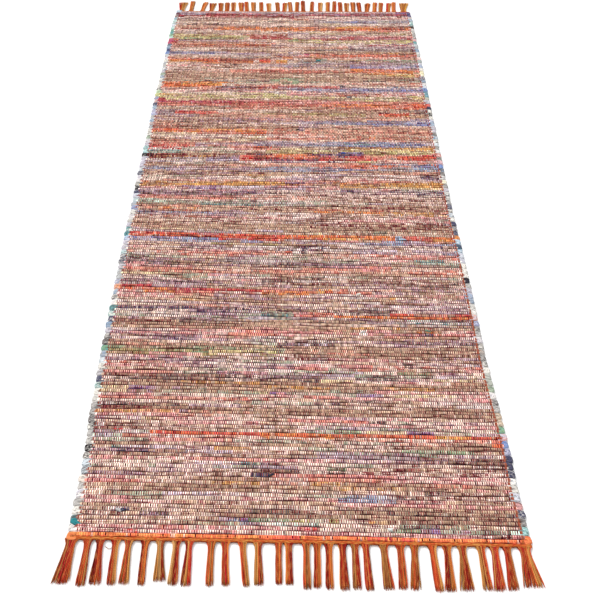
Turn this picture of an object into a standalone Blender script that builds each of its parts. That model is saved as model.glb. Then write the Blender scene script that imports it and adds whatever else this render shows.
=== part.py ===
"""Handwoven rag runner: one ribbed woven cloth and a knotted yarn fringe at each end, lying flat.

Metres. X runs across the cloth, Y along it, Z up. The floor is z = 0 and the cloth is centred on it.
"""

import math
import random

import bmesh
import bpy
from mathutils import Vector

# ---- sizes -------------------------------------------------------------------------------------

MM = 0.001
PICKS = 236                 # rag rows woven from one end to the other
HALF_LENGTH = 1.0           # middle of the cloth to a heading's outer edge
VALLEY_Z = 4.1 * MM         # top of the cloth between two rag rows
CREST_Z = 5.7 * MM          # top of a rag row
EDGE_Z = 2.9 * MM           # top of the turned rag loops at the sides
EDGE_ROUND = 4.5 * MM       # how far in from a side the loops reach full height
LOOP_BULGE = 1.6 * MM       # how far a rag loop swells out of the side
HEADING = 7.0 * MM          # width of the yarn heading strip
PART_GAP = 0.35 * MM        # parting between the cloth and a heading strip
HEADING_Z = 4.0 * MM        # top of the heading strip
SCALLOP = 2.6 * MM          # how far the heading draws back between two tassels
LOCKS = 4                   # yarn locks in an ordinary tassel
CORNER_LOCKS = 6            # yarn locks in the double tassels at the corners
ROOT_WIDTH = 8.8 * MM       # width of an ordinary tassel where it leaves the heading
CORNER_ROOT = 15.0 * MM     # the same for a double tassel
LOCK_GAP = 0.45 * MM        # clear space between two locks of a tassel
RAGGED = 2.2 * MM           # how far lock ends differ in length

# Sides of the cloth: y along it, and how far each side lies from the middle line, in mm.
SIDE_COLUMNS = ("y", "left", "right")
SIDES = (
    (-1000, 347.5, 356.5),
    (-960, 348.5, 357.0),
    (-880, 347.5, 354.5),
    (-800, 348.5, 355.5),
    (-720, 353.0, 354.5),
    (-640, 354.0, 351.5),
    (-560, 356.0, 349.5),
    (-440, 356.5, 351.0),
    (-280, 357.5, 351.0),
    (-160, 358.5, 349.5),
    (-80, 356.5, 348.0),
    (0, 358.0, 348.5),
    (120, 357.0, 348.5),
    (240, 355.5, 349.5),
    (400, 356.0, 350.0),
    (560, 353.5, 351.5),
    (680, 351.5, 352.5),
    (800, 351.0, 351.5),
    (920, 350.0, 352.5),
    (1000, 344.0, 349.5),
)

# How the rag rows lie: y of a row at the middle line, and its rise per metre across, in mm.
LAY_COLUMNS = ("y", "rise")
LAY = (
    (-1000, -19.5),
    (-180, -24.0),
    (150, 0.0),
    (500, -5.0),
    (870, 12.0),
    (1000, 15.2),
)

# Tassels: x at the root, x at the tip, width at the tip, and y reached by the tip, in mm.
TASSEL_COLUMNS = ("root", "tip", "spread", "reach")
NEAR_TASSELS = (
    (-339.0, -344.5, 24.0, -1068),
    (-314.5, -314.5, 13.0, -1072),
    (-296.0, -294.0, 18.0, -1070),
    (-272.5, -270.5, 13.5, -1070),
    (-252.5, -252.0, 16.0, -1069),
    (-227.5, -227.0, 10.5, -1070),
    (-205.0, -200.5, 17.5, -1064),
    (-181.0, -181.5, 14.5, -1070),
    (-161.5, -162.0, 15.0, -1072),
    (-128.5, -127.5, 10.5, -1072),
    (-107.5, -104.0, 12.0, -1071),
    (-82.0, -73.5, 10.0, -1072),
    (-58.0, -55.5, 14.5, -1070),
    (-27.0, -26.5, 10.0, -1069),
    (-12.0, -10.5, 11.0, -1070),
    (14.5, 15.0, 12.0, -1077),
    (31.0, 30.0, 10.5, -1075),
    (48.5, 48.0, 11.0, -1077),
    (69.0, 69.5, 13.5, -1079),
    (87.5, 87.5, 13.0, -1077),
    (104.0, 106.0, 13.5, -1079),
    (131.0, 133.5, 16.0, -1078),
    (156.5, 154.5, 13.5, -1077),
    (178.0, 172.0, 15.0, -1078),
    (204.5, 207.0, 13.0, -1081),
    (227.0, 224.0, 15.0, -1081),
    (249.5, 247.5, 21.0, -1080),
    (277.5, 278.0, 14.0, -1079),
    (298.0, 295.5, 17.0, -1080),
    (317.5, 315.5, 16.0, -1079),
    (343.5, 346.0, 30.0, -1074),
)
FAR_TASSELS = (
    (-329.0, -328.0, 24.0, 1067),
    (-302.0, -300.0, 13.0, 1077),
    (-269.0, -261.0, 13.5, 1069),
    (-242.0, -239.0, 20.0, 1064),
    (-214.0, -216.0, 14.0, 1066),
    (-195.5, -196.5, 12.5, 1068),
    (-176.5, -178.0, 12.5, 1070),
    (-152.0, -156.0, 14.5, 1070),
    (-135.5, -140.0, 10.5, 1076),
    (-116.0, -118.5, 13.0, 1073),
    (-93.0, -95.5, 11.5, 1074),
    (-70.5, -72.0, 13.5, 1067),
    (-43.5, -46.5, 11.0, 1073),
    (-25.5, -22.0, 12.0, 1071),
    (-5.5, -8.5, 11.0, 1077),
    (12.0, 14.0, 10.5, 1078),
    (31.5, 31.0, 10.0, 1088),
    (56.0, 60.0, 9.5, 1082),
    (81.5, 84.5, 13.0, 1075),
    (104.5, 107.0, 10.5, 1079),
    (123.0, 127.5, 9.5, 1086),
    (142.5, 143.5, 10.5, 1080),
    (161.0, 163.5, 14.0, 1074),
    (181.0, 183.0, 12.5, 1081),
    (200.0, 199.5, 11.5, 1079),
    (220.5, 227.5, 15.5, 1074),
    (243.5, 250.5, 10.5, 1080),
    (262.0, 268.0, 12.0, 1079),
    (284.0, 291.5, 12.5, 1077),
    (301.5, 307.5, 10.5, 1084),
    (330.0, 337.5, 24.0, 1079),
)

# How a lock runs out from its root: share of its length, height there, and share of its flare.
RUN_COLUMNS = ("along", "height", "flare")
RUN = (
    (0.14, 3.6 * MM, 0.10),
    (0.55, 3.3 * MM, 0.62),
    (1.00, 2.3 * MM, 1.00),
)
TOP_SHARE = 0.55            # width of a lock's top against its foot


# ---- shapes shared by the pieces -----------------------------------------------------------------

def between(table, at, column):
    """A table's value at a place, running straight from one row to the next."""
    if at <= table[0][0]:
        return table[0][column]
    for low, high in zip(table, table[1:]):
        if at <= high[0]:
            share = (at - low[0]) / (high[0] - low[0])
            return low[column] + share * (high[column] - low[column])
    return table[-1][column]


def row_y(x, along):
    """y of the row that crosses the middle line at `along`, at a distance x across."""
    rise = between(LAY, along / MM, LAY_COLUMNS.index("rise")) * MM
    wander = 1.3 * MM * math.sin(9.0 * x + 5.0 * along) * math.sin(math.pi * (along + 1.0) / 2.0)
    return along + rise * x + wander


def side_x(sign, along):
    """x of a side of the cloth before its loops swell out."""
    column = SIDE_COLUMNS.index("right" if sign > 0 else "left")
    return sign * (between(SIDES, along / MM, column) * MM - LOOP_BULGE)


def near_line():
    return -HALF_LENGTH + 4.8 * MM


def far_line():
    return HALF_LENGTH + 3.0 * MM


def edge_y(end, x):
    """y of the cloth's own end at x: end is -1 for the near one and 1 for the far one."""
    middle = near_line() if end < 0 else far_line()
    return row_y(x, middle - end * (HEADING + PART_GAP))


def material(name, colour, roughness):
    made = bpy.data.materials.new(name)
    made.use_nodes = True
    shader = made.node_tree.nodes["Principled BSDF"]
    shader.inputs["Base Color"].default_value = (*colour, 1.0)
    shader.inputs["Roughness"].default_value = roughness
    shader.inputs["Metallic"].default_value = 0.0
    return made


def finish(bm, name, skin):
    """One object from the mesh, its faces turned outwards."""
    bmesh.ops.recalc_face_normals(bm, faces=bm.faces)
    mesh = bpy.data.meshes.new(name)
    bm.to_mesh(mesh)
    bm.free()
    made = bpy.data.objects.new(name, mesh)
    made.data.materials.append(skin)
    bpy.context.scene.collection.objects.link(made)
    return made


# ---- the woven cloth -----------------------------------------------------------------------------

def make_body(skin):
    """A ribbed sheet: a grid with a line in each groove and on each rag row, closed flat below."""
    stations = 2 * PICKS
    columns = 4
    bm = bmesh.new()
    bmesh.ops.create_grid(bm, x_segments=columns, y_segments=stations, size=1.0)
    start = near_line() + HEADING + PART_GAP
    stop = far_line() - HEADING - PART_GAP
    for vert in bm.verts:
        column = round((vert.co.x + 1.0) / 2.0 * columns)
        station = round((vert.co.y + 1.0) / 2.0 * stations)
        along = start + (stop - start) * station / stations
        crest = station % 2 == 1
        if column in (0, columns):
            sign = -1 if column == 0 else 1
            turn = station + (2 if sign > 0 else 0)
            swell = LOOP_BULGE * abs(math.sin(math.pi * turn / 4.0))
            x = side_x(sign, along) + sign * swell
            z = EDGE_Z
        elif column in (1, columns - 1):
            sign = -1 if column == 1 else 1
            x = side_x(sign, along) - sign * EDGE_ROUND
            z = CREST_Z if crest else VALLEY_Z
        else:
            x = 0.0
            z = CREST_Z if crest else VALLEY_Z
        vert.co = Vector((x, row_y(x, along), z))
    rim = [edge for edge in bm.edges if edge.is_boundary]
    walls = bmesh.ops.extrude_edge_only(bm, edges=rim)["geom"]
    for vert in (item for item in walls if isinstance(item, bmesh.types.BMVert)):
        vert.co.z = 0.0
    foot = [item for item in walls if isinstance(item, bmesh.types.BMEdge) and item.is_boundary]
    bmesh.ops.holes_fill(bm, edges=foot, sides=0)
    return finish(bm, "rug_body", skin)


# ---- a heading strip and its fringe --------------------------------------------------------------

def tassel_rows(table):
    """Each tassel as a dict in metres, with how many locks it has and how wide its root is."""
    rows = []
    for place, values in enumerate(table):
        row = {name: value * MM for name, value in zip(TASSEL_COLUMNS, values)}
        corner = place in (0, len(table) - 1)
        row["locks"] = CORNER_LOCKS if corner else LOCKS
        row["width"] = CORNER_ROOT if corner else ROOT_WIDTH
        rows.append(row)
    return rows


def heading_columns(rows, end, left, right):
    """Where the outer face is divided: (x, drawn back or not, index of the lock cell after it)."""
    columns = [(left, 0.35, None)]
    for place, row in enumerate(rows):
        if place:
            before = rows[place - 1]
            gap_from = before["root"] + before["width"] / 2.0
            gap_to = row["root"] - row["width"] / 2.0
            columns.append(((gap_from + gap_to) / 2.0, 1.0, None))
        for lock in range(row["locks"] + 1):
            x = row["root"] + row["width"] * (lock / row["locks"] - 0.5)
            cell = (place, lock) if lock < row["locks"] else None
            columns.append((x, 0.0, cell))
    columns.append((right, 0.35, None))
    return columns


def lock_ring(row, lock, along, height, flare, root_y, tip_y):
    """Corner places of a lock at one station: left foot, right foot, and the two above them."""
    count = row["locks"]
    middle = row["root"] + (row["tip"] - row["root"]) * (0.25 * flare + 0.75 * along)
    full = row["width"] + (row["spread"] - row["width"]) * flare
    pitch = full / count
    centre = middle + pitch * (lock - (count - 1) / 2.0)
    half = (pitch - LOCK_GAP) / 2.0
    y = root_y + (tip_y - root_y) * along
    top = half * TOP_SHARE
    return {
        (-1, 0): Vector((centre - half, y, 0.0)),
        (1, 0): Vector((centre + half, y, 0.0)),
        (-1, 1): Vector((centre - top, y, height)),
        (1, 1): Vector((centre + top, y, height)),
    }


def make_fringe(name, table, end, skin, seed):
    chance = random.Random(seed)
    rows = tassel_rows(table)
    line = near_line() if end < 0 else far_line()
    inner = line - end * HEADING
    left = side_x(-1, line) + 1.5 * MM
    right = side_x(1, line) - 1.5 * MM
    columns = heading_columns(rows, end, left, right)
    bm = bmesh.new()
    bmesh.ops.create_grid(bm, x_segments=len(columns) - 1, y_segments=1, size=1.0)
    cells = {}
    for vert in bm.verts:
        at = round((vert.co.x + 1.0) / 2.0 * (len(columns) - 1))
        x, drawn, _ = columns[at]
        upper = vert.co.y > 0.0
        y = row_y(x, line) - end * SCALLOP * drawn
        cells.setdefault(at, []).append(vert)
        vert.co = Vector((x, y, HEADING_Z if upper else 0.0))
    faces = {}
    for face in bm.faces:
        first = min(at for at, verts in cells.items() if any(v in verts for v in face.verts))
        faces[first] = face
    outer = list(bm.faces)
    made = bmesh.ops.extrude_face_region(bm, geom=outer, use_keep_orig=True)["geom"]
    for vert in (item for item in made if isinstance(item, bmesh.types.BMVert)):
        vert.co.y = row_y(vert.co.x, inner)
    for at, (x, drawn, cell) in enumerate(columns[:-1]):
        if cell is None:
            continue
        row = rows[cell[0]]
        root_y = row_y(x, line)
        tip_y = row["reach"] + chance.uniform(-RAGGED, RAGGED)
        face = faces[at]
        for along, height, flare in RUN:
            ring = lock_ring(row, cell[1], along, height, flare, root_y, tip_y)
            face = bmesh.ops.extrude_discrete_faces(bm, faces=[face])["faces"][0]
            middle = face.calc_center_median()
            moves = []
            for vert in face.verts:
                side = -1 if vert.co.x < middle.x else 1
                upper = 1 if vert.co.z > middle.z else 0
                moves.append((vert, ring[(side, upper)]))
            for vert, place in moves:
                vert.co = place
    return finish(bm, name, skin)


def main():
    for old in list(bpy.data.objects):
        bpy.data.objects.remove(old, do_unlink=True)
    rag = material("rag_cloth", (0.60, 0.42, 0.36), 0.92)
    yarn_near = material("yarn_near", (0.62, 0.26, 0.07), 0.88)
    yarn_far = material("yarn_far", (0.62, 0.26, 0.07), 0.88)
    make_body(rag)
    make_fringe("fringe_near", NEAR_TASSELS, -1, yarn_near, 31)
    make_fringe("fringe_far", FAR_TASSELS, 1, yarn_far, 62)


main()
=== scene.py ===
# %% [markdown]
# # A handwoven rag runner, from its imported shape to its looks
#
# The runner is a plain-woven rag cloth, about 0.71 m wide and 2 m long, with a knotted yarn fringe at each
# end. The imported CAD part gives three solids: the cloth and two fringes. This lesson dresses them: the ribbed
# rag cloth, the yarns that cross it, the turned rag loops at the sides, the yarn headings and the tassels.
#
# Everything is in metres. X runs across the cloth, Y along it and Z up, and the floor is z = 0.

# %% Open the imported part
import math
import random

import bmesh
import bpy
import numpy as np
from mathutils import Matrix, Vector


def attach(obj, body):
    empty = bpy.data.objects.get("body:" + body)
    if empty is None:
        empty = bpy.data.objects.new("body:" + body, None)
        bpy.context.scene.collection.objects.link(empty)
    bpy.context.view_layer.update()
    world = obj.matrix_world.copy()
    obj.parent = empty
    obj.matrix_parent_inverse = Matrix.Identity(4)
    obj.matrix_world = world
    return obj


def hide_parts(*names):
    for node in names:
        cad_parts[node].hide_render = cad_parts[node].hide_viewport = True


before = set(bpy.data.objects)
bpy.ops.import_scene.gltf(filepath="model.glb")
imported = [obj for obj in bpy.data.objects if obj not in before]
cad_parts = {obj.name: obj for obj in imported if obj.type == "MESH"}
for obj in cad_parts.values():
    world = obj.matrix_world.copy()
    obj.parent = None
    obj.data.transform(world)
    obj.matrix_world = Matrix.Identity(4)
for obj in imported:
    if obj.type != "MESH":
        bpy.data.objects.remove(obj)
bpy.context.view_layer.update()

MM = 0.001

# %% [markdown]
# ## How the cloth lies
#
# A rag rug is woven one rag row at a time. Its rows aren't quite straight: they tilt one way near the
# viewer and the other way far off, and the sides wander by a few millimetres. Both are read from the photo
# and are the same as in the CAD part, so that every thread below can be placed by its row and its yarn.
# A table is read by straight steps between its rows. NumPy does that for many places at once.

# %% The lay of the rows and sides
PICKS = 236
HALF_LENGTH = 1.0
HEADING = 7.0 * MM
PART_GAP = 0.35 * MM
NEAR_LINE = -HALF_LENGTH + 4.8 * MM
FAR_LINE = HALF_LENGTH + 3.0 * MM
START = NEAR_LINE + HEADING + PART_GAP
STOP = FAR_LINE - HEADING - PART_GAP
PITCH = (STOP - START) / PICKS
WANDER = 1.3 * MM

# y along the cloth, and how far each side lies from the middle line, in mm
SIDES = np.array((
    (-1000, 347.5, 356.5), (-960, 348.5, 357.0), (-880, 347.5, 354.5), (-800, 348.5, 355.5),
    (-720, 353.0, 354.5), (-640, 354.0, 351.5), (-560, 356.0, 349.5), (-440, 356.5, 351.0),
    (-280, 357.5, 351.0), (-160, 358.5, 349.5), (-80, 356.5, 348.0), (0, 358.0, 348.5),
    (120, 357.0, 348.5), (240, 355.5, 349.5), (400, 356.0, 350.0), (560, 353.5, 351.5),
    (680, 351.5, 352.5), (800, 351.0, 351.5), (920, 350.0, 352.5), (1000, 344.0, 349.5),
)) * MM

# y of a row at the middle line in mm, and its rise across in mm per metre
LAY = np.array(((-1000, -19.5), (-180, -24.0), (150, 0.0), (500, -5.0), (870, 12.0), (1000, 15.2))) * MM


def row_y(x, along):
    """y of the row that crosses the middle line at `along`, at a distance x across."""
    rise = np.interp(along, LAY[:, 0], LAY[:, 1])
    wander = WANDER * np.sin(9.0 * x + 5.0 * along) * np.sin(math.pi * (along + 1.0) / 2.0)
    return along + rise * x + wander


def side_x(sign, along):
    """x of a side of the cloth, at the outermost of its rag loops."""
    return sign * np.interp(along, SIDES[:, 0], SIDES[:, 2 if sign > 0 else 1])


print(f"{PICKS} rag rows, {PITCH / MM:.2f} mm apart")

# %% [markdown]
# ## The warp and the ribs
#
# The lengthwise yarns are the warp. Over the cloth's width lie 360 of them, 1.9 mm apart. Each one goes
# over one rag row and under the next, and its neighbour does the opposite. The rag rows are thick and soft,
# so each stands up as a rib between two grooves. The functions here give the x of a yarn, the height of the
# rag on its rib, and a slight unevenness that the rag and the yarns over it share.

# %% Yarn places and rib heights
YARNS = 360
LAST = YARNS - 1
EDGE_BAND = 13.5 * MM
VALLEY_Z = 3.5 * MM
CREST_Z = 5.3 * MM
ARCH_AT = (0.0, 0.25, 0.5, 0.75, 1.0)
ARCH = (0.0, 0.88, 1.0, 0.88, 0.0)


def yarn_x(yarn, along):
    """x of a warp yarn. Yarn 0 is at the left."""
    left = side_x(-1, along) + EDGE_BAND
    right = side_x(1, along) - EDGE_BAND
    return left + (right - left) * yarn / LAST


def rag_y(x, row):
    """y at a place along the weave: row 3.5 is the middle of the fourth rag row."""
    ease = 0.8 * np.sin(13.0 * x + 0.9 * row) + 0.6 * np.sin(29.0 * x - 1.3 * row)
    ease = ease + 0.4 * np.sin(67.0 * x + 2.1 * row)
    calm = np.clip(np.minimum(row, PICKS - row) / 3.0, 0.0, 1.0)
    return row_y(x, START + row * PITCH) + ease * calm * MM


def lump(x, row):
    """How much a rag is fuller or thinner there."""
    number = np.floor(row)
    slow = np.sin(23.0 * x + 2.4 * number) + 0.6 * np.sin(61.0 * x - 1.7 * number)
    return (0.26 * slow + 0.20 * np.sin(140.0 * x + 3.1 * number)) * MM


def rag_top(x, row):
    """Height of the cloth's upper side."""
    arch = np.interp(row - np.floor(row), ARCH_AT, ARCH)
    return VALLEY_Z + (CREST_Z - VALLEY_Z) * arch + lump(x, row) * arch


yarn_pitch = (yarn_x(LAST, 0.0) - yarn_x(0, 0.0)) / LAST
print(f"yarns {yarn_pitch / MM:.2f} mm apart, a rib {rag_top(0.0, 100.5) / MM:.1f} mm high")

# %% [markdown]
# ## The colours of the rags
#
# The rags are offcuts of many cloths. Most are white, cream or pale pink; some are grey, blue, tan or
# brown; a few rows are bright red, orange, crimson or yellow-green. Each colour gets a plain name, and the
# weaver's list below says what was woven in each row from left to right: a colour, the x in mm where it
# ends, the next colour, and so on. A second name after a star is a print or a fold showing through. A line
# that starts with a space goes on with the row above it. The list was read from the photo, row by row,
# counting from the near end.

# %% Name the colours
RAG_COLOURS = {
    "white": (244, 238, 230), "cream": (240, 226, 200), "shell": (240, 216, 201), "rose": (222, 136, 138),
    "salmon": (228, 150, 124), "coral": (222, 114, 94), "orange": (238, 124, 44), "flame": (232, 80, 34),
    "gold": (240, 170, 66), "red": (206, 42, 40), "crimson": (168, 38, 54), "magenta": (186, 58, 104),
    "maroon": (98, 34, 40), "brick": (166, 74, 56), "brown": (130, 94, 76), "khaki": (164, 134, 104),
    "tan": (202, 168, 136), "ochre": (204, 140, 56), "yellow": (234, 218, 154), "lime": (200, 204, 116),
    "olive": (152, 144, 76), "sage": (134, 158, 132), "green": (92, 144, 98), "mint": (176, 220, 204),
    "teal": (54, 132, 138), "aqua": (166, 212, 210), "ice": (202, 216, 230), "sky": (120, 170, 212),
    "blue": (78, 108, 184), "steel": (104, 134, 172), "periwinkle": (132, 136, 184),
    "lavender": (188, 180, 202), "mauve": (152, 124, 146), "purple": (104, 74, 142), "grey": (162, 158, 158),
    "ash": (214, 208, 206), "charcoal": (74, 66, 68), "black": (34, 30, 36), "navy": (46, 48, 80),
}
PALE_COTTON = np.array((246, 235, 220))
WASHING = 0.34


def linear(colour):
    """A colour of 0 to 255 as linear light, which is what shaders work in."""
    share = np.array(colour) / 255
    return np.where(share <= 0.0404, share / 12.92, ((share + 0.055) / 1.055) ** 2.4)


def washed(name):
    """A rag's colour after years of washing. Strong dyes and very dark ones hold better than the rest."""
    dye = np.array(RAG_COLOURS[name], float)
    strength = np.ptp(dye) / 255
    fade = WASHING * (1 - 0.3 * strength) * min(dye.mean() / 110, 1)
    return linear(dye + (PALE_COTTON - dye) * fade)


print(len(RAG_COLOURS), "rag colours; brown rags wash out to", washed("brown").round(2))

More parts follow.
